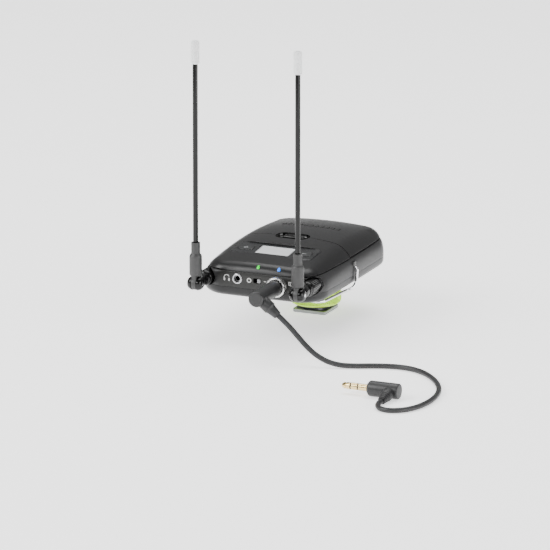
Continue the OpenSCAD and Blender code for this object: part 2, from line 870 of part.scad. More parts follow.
top_cover();
mid_frame();
bottom_shell();
battery_door();
door_hinge_pin();
door_latch();
housing_screws();
display_bezel();
lcd_module();
left_key();
right_key();
green_led();
blue_led();
main_board();
board_screws();
rf_shield();
front_cell();
rear_cell();
left_contacts();
right_contacts();
headphone_jack();
headphone_bezel();
power_switch_body();
power_switch_knob();
output_jack();
left_port();
right_port();
left_antenna_base();
right_antenna_base();
left_antenna_pin();
right_antenna_pin();
left_antenna_sleeve();
right_antenna_sleeve();
left_whip();
right_whip();
left_whip_tip();
right_whip_tip();
clip_bushes();
belt_clip();
mount_plate();
mount_screws();
mount_riser();
mount_stud();
thumb_wheel();
clamp_washer();
shoe_foot();
plug_pin();
locking_ring();
plug_barrel();
plug_strain_relief();
cord();
far_strain_relief();
far_plug_barrel();
far_plug_pin();
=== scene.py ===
import math

import bmesh
import bpy
from bpy.props import FloatProperty, FloatVectorProperty, IntProperty, PointerProperty
from mathutils import Matrix, Vector


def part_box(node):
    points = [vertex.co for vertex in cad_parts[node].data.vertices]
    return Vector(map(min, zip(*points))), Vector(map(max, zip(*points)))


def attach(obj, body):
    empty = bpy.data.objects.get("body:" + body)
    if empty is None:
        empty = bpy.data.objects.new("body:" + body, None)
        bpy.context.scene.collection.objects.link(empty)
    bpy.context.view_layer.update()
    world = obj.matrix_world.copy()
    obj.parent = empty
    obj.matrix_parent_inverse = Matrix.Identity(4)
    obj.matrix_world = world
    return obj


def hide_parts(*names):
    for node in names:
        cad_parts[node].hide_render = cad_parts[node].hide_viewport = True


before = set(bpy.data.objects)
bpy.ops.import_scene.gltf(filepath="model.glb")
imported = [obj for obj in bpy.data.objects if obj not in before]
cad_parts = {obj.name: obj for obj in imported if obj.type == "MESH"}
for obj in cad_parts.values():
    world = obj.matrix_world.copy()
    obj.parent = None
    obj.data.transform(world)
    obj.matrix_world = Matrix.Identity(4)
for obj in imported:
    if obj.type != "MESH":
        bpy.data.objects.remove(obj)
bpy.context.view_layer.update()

bl_info = {
    "name": "Bodypack receiver finishing",
    "version": (1, 0, 0),
    "blender": (4, 5, 0),
    "location": "3D View > Sidebar > Receiver",
    "description": "Makes the finished surfaces of a bodypack receiver on its shoe adapter",
    "category": "Object",
}

MM = 0.001
LOW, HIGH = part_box("bottom_shell")
# Housing frame in millimetres: middle of the housing, at its underside.
HOUSING = Matrix.Translation(((LOW.x + HIGH.x) / 2, (LOW.y + HIGH.y) / 2, LOW.z)) @ Matrix.Scale(MM, 4)
# Shoe frame in millimetres: middle of the underside of the shoe foot.
SHOE = Matrix.Scale(MM, 4)

HALF_W, HALF_L, FRONT_CORNER, REAR_CORNER = 34.3, 49.0, 14.0, 14.5
BODY_H, WALL, SEAM_LOW, SEAM_HIGH = 23.0, 1.8, 5.6, 14.1
DOOR_LINE, SEAM_GAP = -2.7, 0.3
CROWN_ACROSS, CROWN_ALONG, CROWN_Y = 300.0, 265.0, 3.0
SIDE_EDGE, END_EDGE = 11.0, 4.8
CHINE_IN, CHINE_UP = 5.5, 4.0
# How much straighter the crown runs along the sides, and the line that it runs to there.
SIDE_FLAT, SIDE_DROP, SIDE_FALL = 0.6, 4.58, 0.0115
# Half the open seam in the middle of the jack panel and what it widens by elsewhere.
SEAM_SHUT, SEAM_OPEN = 0.02, 0.33
DOOR_RELIEF = (0.12, 0.15)
CAMERA_TURN, CAMERA_RISE, CAMERA_BACK, CAMERA_LENS = 23.6, 15.2, 4.08, 518.4
AIM_RIGHT, AIM_UP = -0.01025, 0.00124
PORT_X, PORT_Z, ELBOW_Y = 28.3, 9.3, -61.7
PANEL_FRONT, PANEL_L, PANEL_W, PANEL_Z, PANEL_TILT = -33.5, 16.5, 45.4, 19.65, 5.9
LATCH_MIDDLE, LATCH_L, LATCH_W, LATCH_FLOOR = -2.9, 10.2, 18.0, 20.8
HINGE_Y, HINGE_Z = 48.6, 14.7
ROW_Z, OUTPUT_X, OUTPUT_Z = 10.3, 12.0, 9.0
RING_Y, PLUG_Y, PLUG_END = -49.4, -53.4, -78.0
BRANCH_Y, BRANCH_ANGLE = -73.4, 38.5
FAR_PLUG = (100.5, -138.0, 4.1)
CELL_Y, CELL_Z, CELL_R, CELL_L = (11.6, 27.6), 9.8, 7.25, 50.5
WHEEL_Z, WHEEL_H, WHEEL_R = 4.4, 7.2, 13.5


# ---------------------------------------------------------------- settings

def colour_setting(name, description, default):
    return FloatVectorProperty(name=name, description=description, default=default, size=3,
                               min=0, max=1, subtype="COLOR")


def length_setting(name, description, default, low, high):
    return FloatProperty(name=name, description=description + ", in millimetres", default=default,
                         min=low, max=high)


class HousingSettings(bpy.types.PropertyGroup):
    cover: colour_setting("Cover colour", "Moulded plastic of the cover, door and bottom shell",
                          (0.0065, 0.0065, 0.0068))
    band: colour_setting("Band colour", "Moulded plastic of the side walls", (0.016, 0.016, 0.0165))
    # The jack panel colour is painted shade: a darker colour on the middle of the jack panel, with the same finish as
    # the band.
    front: colour_setting("Jack panel colour", "Matte middle of the jack panel", (0.009, 0.009, 0.008))
    bow: length_setting("Bow", "How far the side walls swell in the middle", 0.5, 0.0, 1.5)
    seam: length_setting("Seam rounding", "Rounding of the edges along the seams", 0.22, 0.05, 0.5)
    rib_count: IntProperty(name="Ribs", description="Raised ribs across the battery door", default=11,
                           min=3, max=21)


class DisplaySettings(bpy.types.PropertyGroup):
    plate: colour_setting("Plate colour", "Glossy plate round the screen", (0.01, 0.0105, 0.011))
    screen: colour_setting("Screen colour", "Reflective screen", (0.6, 0.61, 0.62))
    key_lift: length_setting("Key height", "How far the keys stand above the plate", 0.2, 0.05, 0.4)


class PanelRowSettings(bpy.types.PropertyGroup):
    marks: colour_setting("Marks colour", "Printed marks of the jack panel", (0.5, 0.5, 0.49))
    green: colour_setting("Audio light", "Green lens", (0.005, 0.6, 0.03))
    blue: colour_setting("Radio light", "Blue lens", (0.02, 0.2, 0.85))
    glow: FloatProperty(name="Glow", description="Strength of the lit lenses", default=0.5, min=0, max=10)


class AntennaSettings(bpy.types.PropertyGroup):
    sleeve: colour_setting("Sleeve colour", "Rubber sleeve at the foot of the whip", (0.03, 0.03, 0.03))
    whip: colour_setting("Whip colour", "Gloss coat of the whip", (0.004, 0.004, 0.004))
    tip: colour_setting("Tip colour", "Clear white cap", (0.86, 0.87, 0.87))
    nut_ridges: IntProperty(name="Nut ridges", description="Ridges round the coupling nut", default=30,
                            min=12, max=60)


class LeadSettings(bpy.types.PropertyGroup):
    jacket: colour_setting("Jacket colour", "Rubber of the lead and its plugs", (0.012, 0.012, 0.0125))
    ring_ridges: IntProperty(name="Ring ridges", description="Ridges round the locking ring", default=46,
                             min=20, max=90)


class AdapterSettings(bpy.types.PropertyGroup):
    wheel: colour_setting("Wheel colour", "Anodised thumb wheel", (0.58, 0.9, 0.05))
    knurls: IntProperty(name="Knurls", description="Knurls round the thumb wheel", default=76, min=40, max=160)
    rows: IntProperty(name="Rows", description="Rows of knurls", default=6, min=1, max=12)


class InsideSettings(bpy.types.PropertyGroup):
    board: colour_setting("Board colour", "Solder mask of the circuit board", (0.01, 0.12, 0.05))
    wrap: colour_setting("Cell colour", "Wrap of the AA cells", (0.3, 0.31, 0.33))
    turns: FloatProperty(name="Spring turns", description="Turns of each contact spring", default=4.0,
                         min=2, max=8)


class StageSettings(bpy.types.PropertyGroup):
    floor: colour_setting("Floor colour", "Pale floor", (0.9, 0.9, 0.9))
    light: FloatProperty(name="Light", description="Strength of the studio light", default=1.0, min=0.1,
                         max=5)


# ---------------------------------------------------------------- shapes

def mesh_from(points, faces):
    mesh = bpy.data.meshes.new("part")
    mesh.from_pydata([tuple(p) for p in points], [], faces)
    tidy(mesh)
    return mesh


def tidy(mesh):
    """Faces outwards on a closed mesh."""
    bm = bmesh.new()
    bm.from_mesh(mesh)
    bmesh.ops.remove_doubles(bm, verts=bm.verts, dist=1e-6)
    bmesh.ops.recalc_face_normals(bm, faces=bm.faces)
    bm.to_mesh(mesh)
    bm.free()


def skin(rings, around=False):
    """A closed mesh through rings of equal count; a ring of one point is a pole."""
    points, faces, starts = [], [], []
    for ring in rings:
        starts.append((len(points), len(ring)))
        points.extend(ring)
    pairs = list(zip(starts, starts[1:])) + ([(starts[-1], starts[0])] if around else [])
    for (a, n), (b, m) in pairs:
        count = max(n, m)
        for k in range(count):
            j = (k + 1) % count
            quad = [a + k % n, a + j % n, b + j % m, b + k % m]
            faces.append([v for i, v in enumerate(quad) if v not in quad[:i]])
    if not around:
        for start, n in (starts[0], starts[-1]):
            if n > 2:
                faces.append(list(range(start, start + n)))
    return mesh_from(points, faces)


def rounded(profile, radius=0.2, steps=3, closed=False):
    """A profile with each of its corners rounded."""
    last = len(profile) - 1
    result = []
    for i, corner in enumerate(profile):
        if not closed and i in (0, last):
            result.append(corner)
            continue
        here = Vector(corner)
        before, after = Vector(profile[i - 1]), Vector(profile[(i + 1) % len(profile)])
        cut = min(radius, (before - here).length * 0.45, (after - here).length * 0.45)
        start = here + (before - here).normalized() * cut
        end = here + (after - here).normalized() * cut
        for k in range(steps + 1):
            t = k / steps
            result.append(tuple(start * (1 - t) ** 2 + here * 2 * t * (1 - t) + end * t ** 2))
    return result


def turned(profile, sides=48, ring=False):
    """A turned part round Z from (radius, height) points, closed at its poles or round on itself."""
    rings = []
    for r, h in profile:
        if r < 1e-6:
            rings.append([(0, 0, h)])
        else:
            rings.append([(r * math.cos(math.tau * k / sides), r * math.sin(math.tau * k / sides), h)
                          for k in range(sides)])
    return skin(rings, around=ring)


def swept(route, radius, sides=16):
    """A round bar along a route, its ends closed flat."""
    rings, side = [], None
    last = len(route) - 1
    for i, p in enumerate(route):
        ahead = (Vector(route[min(i + 1, last)]) - Vector(route[max(i - 1, 0)])).normalized()
        if side is None:
            side = ahead.orthogonal().normalized()
        side = (side - ahead * side.dot(ahead)).normalized()
        other = ahead.cross(side)
        rings.append([Vector(p) + radius * (math.cos(math.tau * k / sides) * side
                      + math.sin(math.tau * k / sides) * other) for k in range(sides)])
    return skin(rings)


def smooth_route(points, steps=6):
    """More points along a smooth curve through the given ones."""
    pts = [Vector(p) for p in points]
    pts = [pts[0] * 2 - pts[1]] + pts + [pts[-1] * 2 - pts[-2]]
    result = []
    for i in range(1, len(pts) - 2):
        a, b, c, d = pts[i - 1:i + 3]
        for k in range(steps):
            t = k / steps
            result.append(0.5 * (2 * b + (c - a) * t + (2 * a - 5 * b + 4 * c - d) * t * t
                                 + (3 * b - a - 3 * c + d) * t ** 3))
    return result + [pts[-2]]


def rounded_outline(w, l, r, steps=8):
    """Outline of a rounded rectangle centred on the origin."""
    points = []
    for x, y, start in ((1, 1, 0), (-1, 1, 90), (-1, -1, 180), (1, -1, 270)):
        for k in range(steps + 1):
            a = math.radians(start + 90 * k / steps)
            points.append((x * (w / 2 - r) + r * math.cos(a), y * (l / 2 - r) + r * math.sin(a)))
    return points


def plate(w, l, r, layers, steps=8):
    """A rounded plate through layers of (how far its outline moves in, height)."""
    return skin([[(x, y, z) for x, y in rounded_outline(w - 2 * d, l - 2 * d, max(r - d, 0.05), steps)]
                 for d, z in layers])


def block(low, high, edge=0.0):
    """A box between two corners, its edges rounded."""
    bm = bmesh.new()
    bmesh.ops.create_cube(bm, size=1)
    for v in bm.verts:
        for i in range(3):
            v.co[i] = high[i] if v.co[i] > 0 else low[i]
    if edge:
        bmesh.ops.bevel(bm, geom=bm.edges[:], offset=edge, segments=3, profile=0.5, affect="EDGES")
    mesh = bpy.data.meshes.new("part")
    bm.to_mesh(mesh)
    bm.free()
    tidy(mesh)
    return mesh


def moved(mesh, place):
    mesh.transform(place)
    return mesh


def along(start, end_way):
    """A place whose Z axis runs from a point along a direction."""
    turn = Vector((0, 0, 1)).rotation_difference(Vector(end_way)).to_matrix().to_4x4()
    return Matrix.Translation(start) @ turn


def shaft(start, way, radius, length, sides=48):
    return moved(turned([(0, 0), (radius, 0), (radius, length), (0, length)], sides), along(start, way))


def joined(*meshes):
    """Several closed meshes in one."""
    bm = bmesh.new()
    for mesh in meshes:
        bm.from_mesh(mesh)
    result = bpy.data.meshes.new("part")
    bm.to_mesh(result)
    bm.free()
    return result


def with_modifier(mesh, make):
    """The mesh after one modifier, which is then removed."""
    holder = bpy.data.objects.new("holder", mesh)
    bpy.context.scene.collection.objects.link(holder)
    make(holder)
    depsgraph = bpy.context.evaluated_depsgraph_get()
    result = bpy.data.meshes.new_from_object(holder.evaluated_get(depsgraph))
    bpy.data.objects.remove(holder)
    return result


def combined(mesh, other, operation):
    tool = bpy.data.objects.new("tool", other)
    bpy.context.scene.collection.objects.link(tool)

    def make(holder):
        modifier = holder.modifiers.new("cut", "BOOLEAN")
        modifier.operation = operation
        modifier.solver = "MANIFOLD"
        modifier.object = tool

    result = with_modifier(mesh, make)
    bpy.data.objects.remove(tool)
    if not result.polygons:
        raise RuntimeError("a cut left nothing")
    return result


def less(mesh, *cutters):
    for cutter in cutters:
        mesh = combined(mesh, cutter, "DIFFERENCE")
    return mesh


def within(mesh, other):
    return combined(mesh, other, "INTERSECT")


def plus(mesh, *others):
    for other in others:
        mesh = combined(mesh, other, "UNION")
    return mesh


def piece(name, mesh, place, finish, body, nodes=(), angle=32.0, other=None, where=None):
    """A finished piece, in place in its mesh, riding on its body; other finishes the faces picked by where."""
    mesh.materials.clear()
    mesh.materials.append(finish)
    if other:
        mesh.materials.append(other)
        for face in mesh.polygons:
            face.material_index = int(where(face.center))
    mesh.transform(place)
    mesh.name = name
    mesh.shade_smooth()
    mesh.set_sharp_from_angle(angle=math.radians(angle))
    obj = bpy.data.objects.new(name, mesh)
    bpy.context.scene.collection.objects.link(obj)
    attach(obj, body)
    if nodes:
        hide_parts(*nodes)
    return obj


def refinish(node, finish):
    """A new finish on a CAD node that keeps its shape."""
    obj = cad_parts[node]
    obj.data.materials.clear()
    obj.data.materials.append(finish)


# ---------------------------------------------------------------- the housing's form

def outline_points(corner_steps=22, side_steps=18):
    """Points of the housing's outline seen from above, each with the way out of the wall."""
    corners = []
    for x, y, start in ((1, 1, 0), (-1, 1, 90), (-1, -1, 180), (1, -1, 270)):
        r = REAR_CORNER if y > 0 else FRONT_CORNER
        row = []
        for k in range(corner_steps + 1):
            a = math.radians(start + 90 * k / corner_steps)
            n = Vector((math.cos(a), math.sin(a)))
            row.append((Vector((x * (HALF_W - r), y * (HALF_L - r))) + n * r, n))
        corners.append(row)
    points = []
    for i, row in enumerate(corners):
        points += row
        (a, n), (b, _) = row[-1], corners[(i + 1) % 4][0]
        points += [(a.lerp(b, k / side_steps), n) for k in range(1, side_steps)]
    return points


def crown(x, y):
    """Height of the crowned top, which runs straighter along the sides than down the middle."""
    along = CROWN_ALONG - math.sqrt(CROWN_ALONG ** 2 - (y - CROWN_Y) ** 2)
    across = CROWN_ACROSS - math.sqrt(CROWN_ACROSS ** 2 - x * x)
    straight = SIDE_DROP - SIDE_FALL * y
    return BODY_H - along - across - SIDE_FLAT * (x / HALF_W) ** 4 * (straight - along)


def edge_radius(n):
    return END_EDGE + (SIDE_EDGE - END_EDGE) * abs(n.x) ** 2.6


def cover_height(p, n, d):
    """Height of the cover at a distance in from the outline."""
    r = edge_radius(n)
    return crown(*(p - n * d)) - r + math.sqrt(r * r - max(r - d, 0.0) ** 2)


def cover_inset(p, n, z):
    """How far in from the outline the cover's rounded edge reaches a height."""
    low, high = 0.0, edge_radius(n)
    if cover_height(p, n, low) > z:
        return 0.0
    for _ in range(24):
        d = (low + high) / 2
        low, high = (d, high) if cover_height(p, n, d) < z else (low, d)
    return low


def seam_gap(p):
    """Half the open seam between cover and band, which closes in the middle of the jack panel."""
    side = min(max((abs(p.x) - 15) / 5, 0), 1) if p.y < -40 else 1.0
    return SEAM_SHUT + SEAM_OPEN * side * side * (3 - 2 * side)


def bowed(mesh):
    """Side walls swell a little towards their middle."""
    bow = bpy.context.scene.receiver_housing.bow
    for v in mesh.vertices:
        x, y = v.co.x, v.co.y
        v.co.x = x * (1 - bow / HALF_W * (y / HALF_L) ** 2)
        v.co.y = y * (1 - bow / HALF_L * (x / HALF_W) ** 2)
    return mesh


def front_face(x):
    """Where the bowed jack panel is at a distance from the middle."""
    return -HALF_L * (1 - bpy.context.scene.receiver_housing.bow / HALF_L * (x / HALF_W) ** 2)


def top_form(base, inset, skirt):
    """The solid under the crown, from a seam up; skirt rounds its lower edge."""
    points = outline_points()
    rows = []
    steps, fans = 11, 20
    columns = []
    for p, n in points:
        r = edge_radius(n)
        seam = base + (seam_gap(p) if skirt else 0)
        first = cover_inset(p, n, seam + skirt + inset)
        column = [(first + skirt, seam), (first + skirt * 0.3, seam + skirt * 0.3)] if skirt else [(first, seam)]
        start = math.asin(min((r - first) / r, 1.0))
        for k in range(steps + 1):
            d = r - r * math.sin(start * (1 - k / steps))
            column.append((d, max(cover_height(p, n, d) - inset, seam + 0.02)))
        columns.append([(p - n * (inset + d), z) for d, z in column])
    for row in range(len(columns[0])):
        rows.append([(q.x, q.y, z) for q, z in (c[row] for c in columns)])
    rim = rows[-1]
    for k in range(1, fans):
        s = 1 - k / fans
        rows.append([(x * s, y * s, crown(x * s, y * s) - inset) for x, y, _ in rim])
    rows.append([(0, 0, crown(0, 0) - inset)])
    return bowed(skin(rows))


def wall_form(inset, levels):
    """An upright solid inside the outline, through (further inset, height) levels."""
    points = outline_points()
    fine = [levels[0]]
    for (d0, z0), (d1, z1) in zip(levels, levels[1:]):
        parts = max(1, round((z1 - z0) / 1.2))
        fine += [(d0 + (d1 - d0) * k / parts, z0 + (z1 - z0) * k / parts) for k in range(1, parts + 1)]
    return bowed(skin([[(*(p - n * (inset + d + cover_inset(p, n, z))), z - (seam_gap(p) if z > SEAM_HIGH - 1.5 else 0))
                        for p, n in points] for d, z in fine]))


def bottom_form(inset, high, skirt):
    """The solid above the underside, up to a seam."""
    points = outline_points()
    levels = [(CHINE_IN * (1 - math.cos(a)), inset + (CHINE_UP - inset) * (1 - math.sin(a)))
              for a in (math.pi / 2 * (1 - k / 10) for k in range(11))]
    levels += [(skirt * 0.3, high - skirt * 0.3), (skirt, high)] if skirt else [(0, high + 0.1)]
    rows = [[(*(p - n * (inset + d)), z) for p, n in points] for d, z in levels]
    floor = rows[0]
    fan = [[(0, 0, inset)]] + [[(x * s, y * s, inset) for x, y, _ in floor] for s in (0.25, 0.5, 0.75, 0.9)]
    return bowed(skin(fan + rows))


def pocket(side, radius, back, reach):
    return shaft((side * PORT_X, back, PORT_Z), (0, -1, 0), radius, reach, 56)


def panel_place(x=0.0, y=0.0, z=0.0):
    """The tilted frame of the display plate."""
    return (Matrix.Translation((0, PANEL_FRONT, PANEL_Z)) @ Matrix.Rotation(math.radians(PANEL_TILT), 4, "X")
            @ Matrix.Translation((x, y, z)))


def latch_hollow():
    """The oval finger recess across the line between cover and door."""
    layers = [(1.3, LATCH_FLOOR), (0.7, LATCH_FLOOR + 0.08), (0.3, LATCH_FLOOR + 0.35), (0.05, LATCH_FLOOR + 0.8),
              (-0.1, LATCH_FLOOR + 1.4), (-0.25, BODY_H + 1)]
    return moved(plate(LATCH_W, LATCH_L, 4.6, layers, 12), Matrix.Translation((0, LATCH_MIDDLE, 0)))


def top_shell(seam):
    hollow = top_form(seam - 0.5, WALL, 0)
    hollow = less(hollow,
                  moved(plate(PANEL_W + 4, PANEL_L + 4, 5, [(0, -2.6), (0, 3)], 8),
                        panel_place(0, PANEL_L / 2)),
                  block((-11, LATCH_MIDDLE - 7, LATCH_FLOOR - 1.6), (11, LATCH_MIDDLE + 7, BODY_H)))
    shell = less(top_form(seam, 0, bpy.context.scene.receiver_housing.seam), hollow)
    recess = moved(plate(PANEL_W + 0.3, PANEL_L + 0.3, 3.1, [(0, -1.02), (0, 0.2), (-0.15, 0.5), (-1.2, 3)], 10),
                   panel_place(0, PANEL_L / 2))
    return less(shell, recess, latch_hollow())


def in_latch_recess(p):
    return abs(p.x) < LATCH_W / 2 and abs(p.y - LATCH_MIDDLE) < LATCH_L / 2 and p.z < crown(p.x, p.y) - 0.2 \
        and p.z > LATCH_FLOOR - 0.3


def half_space(low_y, high_y, low_z=-5.0):
    return block((-60, low_y, low_z), (60, high_y, 60))


# ---------------------------------------------------------------- finishes

class Nodes:
    """A material's nodes, with short ways to add and join them."""

    def __init__(self, name):
        self.finish = bpy.data.materials.new(name)
        self.finish.use_nodes = True
        self.tree = self.finish.node_tree
        self.shader = self.tree.nodes["Principled BSDF"]
        self.where = self.add("ShaderNodeTexCoord").outputs["Object"]

    def add(self, kind, inputs=None, **settings):
        node = self.tree.nodes.new(kind)
        for key, value in settings.items():
            setattr(node, key, value)
        for key, value in (inputs or {}).items():
            if isinstance(value, bpy.types.NodeSocket):
                self.tree.links.new(value, node.inputs[key])
            else:
                node.inputs[key].default_value = value
        return node

    def noise(self, size, detail=3.0, stretch=None):
        """Soft noise whose features are about size millimetres."""
        where = self.where
        if stretch:
            where = self.add("ShaderNodeMapping", {"Vector": where, "Scale": stretch}).outputs["Vector"]
        return self.add("ShaderNodeTexNoise", {"Vector": where, "Scale": 1 / (size * MM), "Detail": detail,
                                               "Roughness": 0.55}).outputs["Fac"]

    def spread(self, value, low, high, start=0.3, end=0.7):
        return self.add("ShaderNodeMapRange", {"Value": value, "From Min": start, "From Max": end,
                                               "To Min": low, "To Max": high}).outputs["Result"]

    def mix(self, factor, a, b):
        node = self.add("ShaderNodeMix", data_type="RGBA")
        for key, value in ((0, factor), (6, a), (7, b)):
            if isinstance(value, bpy.types.NodeSocket):
                self.tree.links.new(value, node.inputs[key])
            else:
                node.inputs[key].default_value = value
        return node.outputs[2]

    def give(self, key, value):
        if isinstance(value, bpy.types.NodeSocket):
            self.tree.links.new(value, self.shader.inputs[key])
        else:
            self.shader.inputs[key].default_value = value

    def band(self, axis, low, high, soft):
        """1 between two places along an axis, in metres, with soft ends."""
        part = self.add("ShaderNodeSeparateXYZ", {"Vector": self.where}).outputs[axis]
        up = self.add("ShaderNodeMapRange", {"Value": part, "From Min": low - soft, "From Max": low + soft},
                      interpolation_type="SMOOTHSTEP")
        down = self.add("ShaderNodeMapRange", {"Value": part, "From Min": high + soft, "From Max": high - soft},
                        interpolation_type="SMOOTHSTEP")
        return self.add("ShaderNodeMath", {0: up.outputs["Result"], 1: down.outputs["Result"]},
                        operation="MULTIPLY").outputs["Value"]


def rgba(colour, gain=1.0):
    return (colour[0] * gain, colour[1] * gain, colour[2] * gain, 1.0)


def surface(name, colour, rough=0.45, metal=0.0, grain=0.3, depth=0.02, mottle=0.12, polish=0.06,
            coat=0.0, gloss=0.5, stretch=None, edge=0.0, over=None):
    """A finish with a fine grain in its surface and slow changes of tint and polish."""
    n = Nodes(name)
    slow = n.noise(9.0, 4.0)
    tint = n.mix(n.spread(slow, 0, 1), rgba(colour, 1 - mottle), rgba(colour, 1 + mottle))
    if over:
        tint = over(n, tint)
    n.give("Base Color", tint)
    n.give("Metallic", metal)
    n.give("Specular IOR Level", gloss)
    mid = n.noise(1.6, 5.0, stretch)
    n.give("Roughness", n.spread(mid, max(rough - polish, 0.02), rough + polish))
    fine = n.noise(grain, 2.0, stretch)
    bump = n.add("ShaderNodeBump", {"Height": fine, "Strength": 0.5, "Distance": depth * MM})
    if edge:
        corner = n.add("ShaderNodeBevel", {"Radius": edge * MM}, samples=4)
        n.tree.links.new(corner.outputs["Normal"], bump.inputs["Normal"])
    n.give("Normal", bump.outputs["Normal"])
    if coat:
        n.give("Coat Weight", coat)
        n.give("Coat Roughness", 0.08)
    return n.finish


def cover_finish():
    return surface("moulded_cover", bpy.context.scene.receiver_housing.cover, rough=0.33, grain=0.2,
                   depth=0.006, mottle=0.1, polish=0.03, gloss=0.36, edge=0.22)


def band_finish():
    """Side walls, with a darker colour painted on the middle of the jack panel as shade."""
    settings = bpy.context.scene.receiver_housing

    def painted_shade_middle(n, tint):
        # Painted shade: the middle of the jack panel takes the darker jack panel colour.
        across = n.band("X", -0.0215, 0.0215, 0.0015)
        ahead = n.band("Y", -0.090, -0.0745, 0.0015)
        both = n.add("ShaderNodeMath", {0: across, 1: ahead}, operation="MULTIPLY").outputs["Value"]
        return n.mix(both, tint, rgba(settings.front))

    return surface("moulded_band", settings.band, rough=0.4, grain=0.2, depth=0.006, mottle=0.1, polish=0.03,
                   gloss=0.4, edge=0.18, over=painted_shade_middle)


def gloss_black(name="gloss_black", rough=0.16):
    return surface(name, (0.002, 0.002, 0.002), rough=rough, grain=1.2, depth=0.004, mottle=0.2, polish=0.05,
                   gloss=0.35)


def bright_metal(name="bright_metal", colour=(0.78, 0.78, 0.79), rough=0.2):
    return surface(name, colour, rough=rough, metal=1.0, grain=0.4, depth=0.004, mottle=0.05, polish=0.06)


def rubber(name, colour, rough=0.55):
    return surface(name, colour, rough=rough, grain=0.16, depth=0.008, mottle=0.14, polish=0.05)


# ---------------------------------------------------------------- repeats made with Geometry Nodes

class Tree:
    """A Geometry Nodes tree with named inputs."""

    def __init__(self, name, inputs):
        self.tree = bpy.data.node_groups.new(name, "GeometryNodeTree")
        face = self.tree.interface
        face.new_socket("Geometry", in_out="INPUT", socket_type="NodeSocketGeometry")
        face.new_socket("Geometry", in_out="OUTPUT", socket_type="NodeSocketGeometry")
        self.sockets = {}
        for label, kind, default in inputs:
            socket = face.new_socket(label, in_out="INPUT", socket_type="NodeSocket" + kind)
            if default is not None:
                socket.default_value = default
            self.sockets[label] = socket.identifier
        self.start = self.tree.nodes.new("NodeGroupInput")
        self.end = self.tree.nodes.new("NodeGroupOutput")

    def add(self, kind, inputs=None, **settings):
        node = self.tree.nodes.new(kind)
        for key, value in settings.items():
            setattr(node, key, value)
        for key, value in (inputs or {}).items():
            if isinstance(value, str):
                value = self.start.outputs[value]
            if isinstance(value, bpy.types.NodeSocket):
                self.tree.links.new(value, node.inputs[key])
            else:
                node.inputs[key].default_value = value
        return node

    def maths(self, operation, a, b):
        return self.add("ShaderNodeMath", {0: a, 1: b}, operation=operation).outputs["Value"]

    def vector(self, x, y, z):
        return self.add("ShaderNodeCombineXYZ", {"X": x, "Y": y, "Z": z}).outputs["Vector"]

    def finish(self, *parts):
        join = self.add("GeometryNodeJoinGeometry")
        for part in parts:
            self.tree.links.new(part, join.inputs["Geometry"])
        real = self.add("GeometryNodeRealizeInstances", {"Geometry": join.outputs["Geometry"]})
        painted = self.add("GeometryNodeSetMaterial", {"Geometry": real.outputs["Geometry"],
                                                       "Material": "Material"})
        self.tree.links.new(painted.outputs["Geometry"], self.end.inputs["Geometry"])


def grown(mesh, tree, finish, **values):
    """A mesh after a Geometry Nodes tree, as plain mesh."""

    def make(holder):
        modifier = holder.modifiers.new(tree.tree.name, "NODES")
        modifier.node_group = tree.tree
        modifier[tree.sockets["Material"]] = finish
        for label, value in values.items():
            modifier[tree.sockets[label.replace("_", " ")]] = value

    return with_modifier(mesh, make)


def knurl_tree():
    """Upright ridges in rows round a turned part, added to it."""
    t = Tree("knurl", [("Material", "Material", None), ("Radius", "Float", 5.0), ("Count", "Int", 40),
                       ("Rows", "Int", 1), ("Ridge", "Float", 0.3), ("Height", "Float", 2.0),
                       ("Low", "Float", 0.0)])
    pitch = t.maths("DIVIDE", "Height", "Rows")
    side = t.maths("MULTIPLY", "Ridge", 1.0)
    tall = t.maths("MULTIPLY", pitch, 0.82)
    bar = t.add("GeometryNodeMeshCube", {"Size": t.vector(side, side, tall)})
    turn = t.add("GeometryNodeTransform", {"Geometry": bar.outputs["Mesh"],
                                           "Rotation": (0.0, 0.0, math.pi / 4)})
    first = t.maths("MULTIPLY_ADD", pitch, 0.5)
    t.tree.links.new(t.start.outputs["Low"], first.node.inputs[2])
    line = t.add("GeometryNodeMeshLine", {"Count": "Rows", "Start Location": t.vector(0.0, 0.0, first),
                                          "Offset": t.vector(0.0, 0.0, pitch)})
    column = t.add("GeometryNodeInstanceOnPoints", {"Points": line.outputs["Mesh"],
                                                    "Instance": turn.outputs["Geometry"]})
    solid = t.add("GeometryNodeRealizeInstances", {"Geometry": column.outputs["Instances"]})
    circle = t.add("GeometryNodeCurvePrimitiveCircle", {"Resolution": "Count", "Radius": "Radius"})
    place = t.add("GeometryNodeInputPosition")
    aim = t.add("FunctionNodeAlignRotationToVector", {"Vector": place.outputs["Position"]}, axis="X")
    ring = t.add("GeometryNodeInstanceOnPoints", {"Points": circle.outputs["Curve"],
                                                  "Instance": solid.outputs["Geometry"],
                                                  "Rotation": aim.outputs["Rotation"]})
    t.finish(t.start.outputs["Geometry"], ring.outputs["Instances"])
    return t


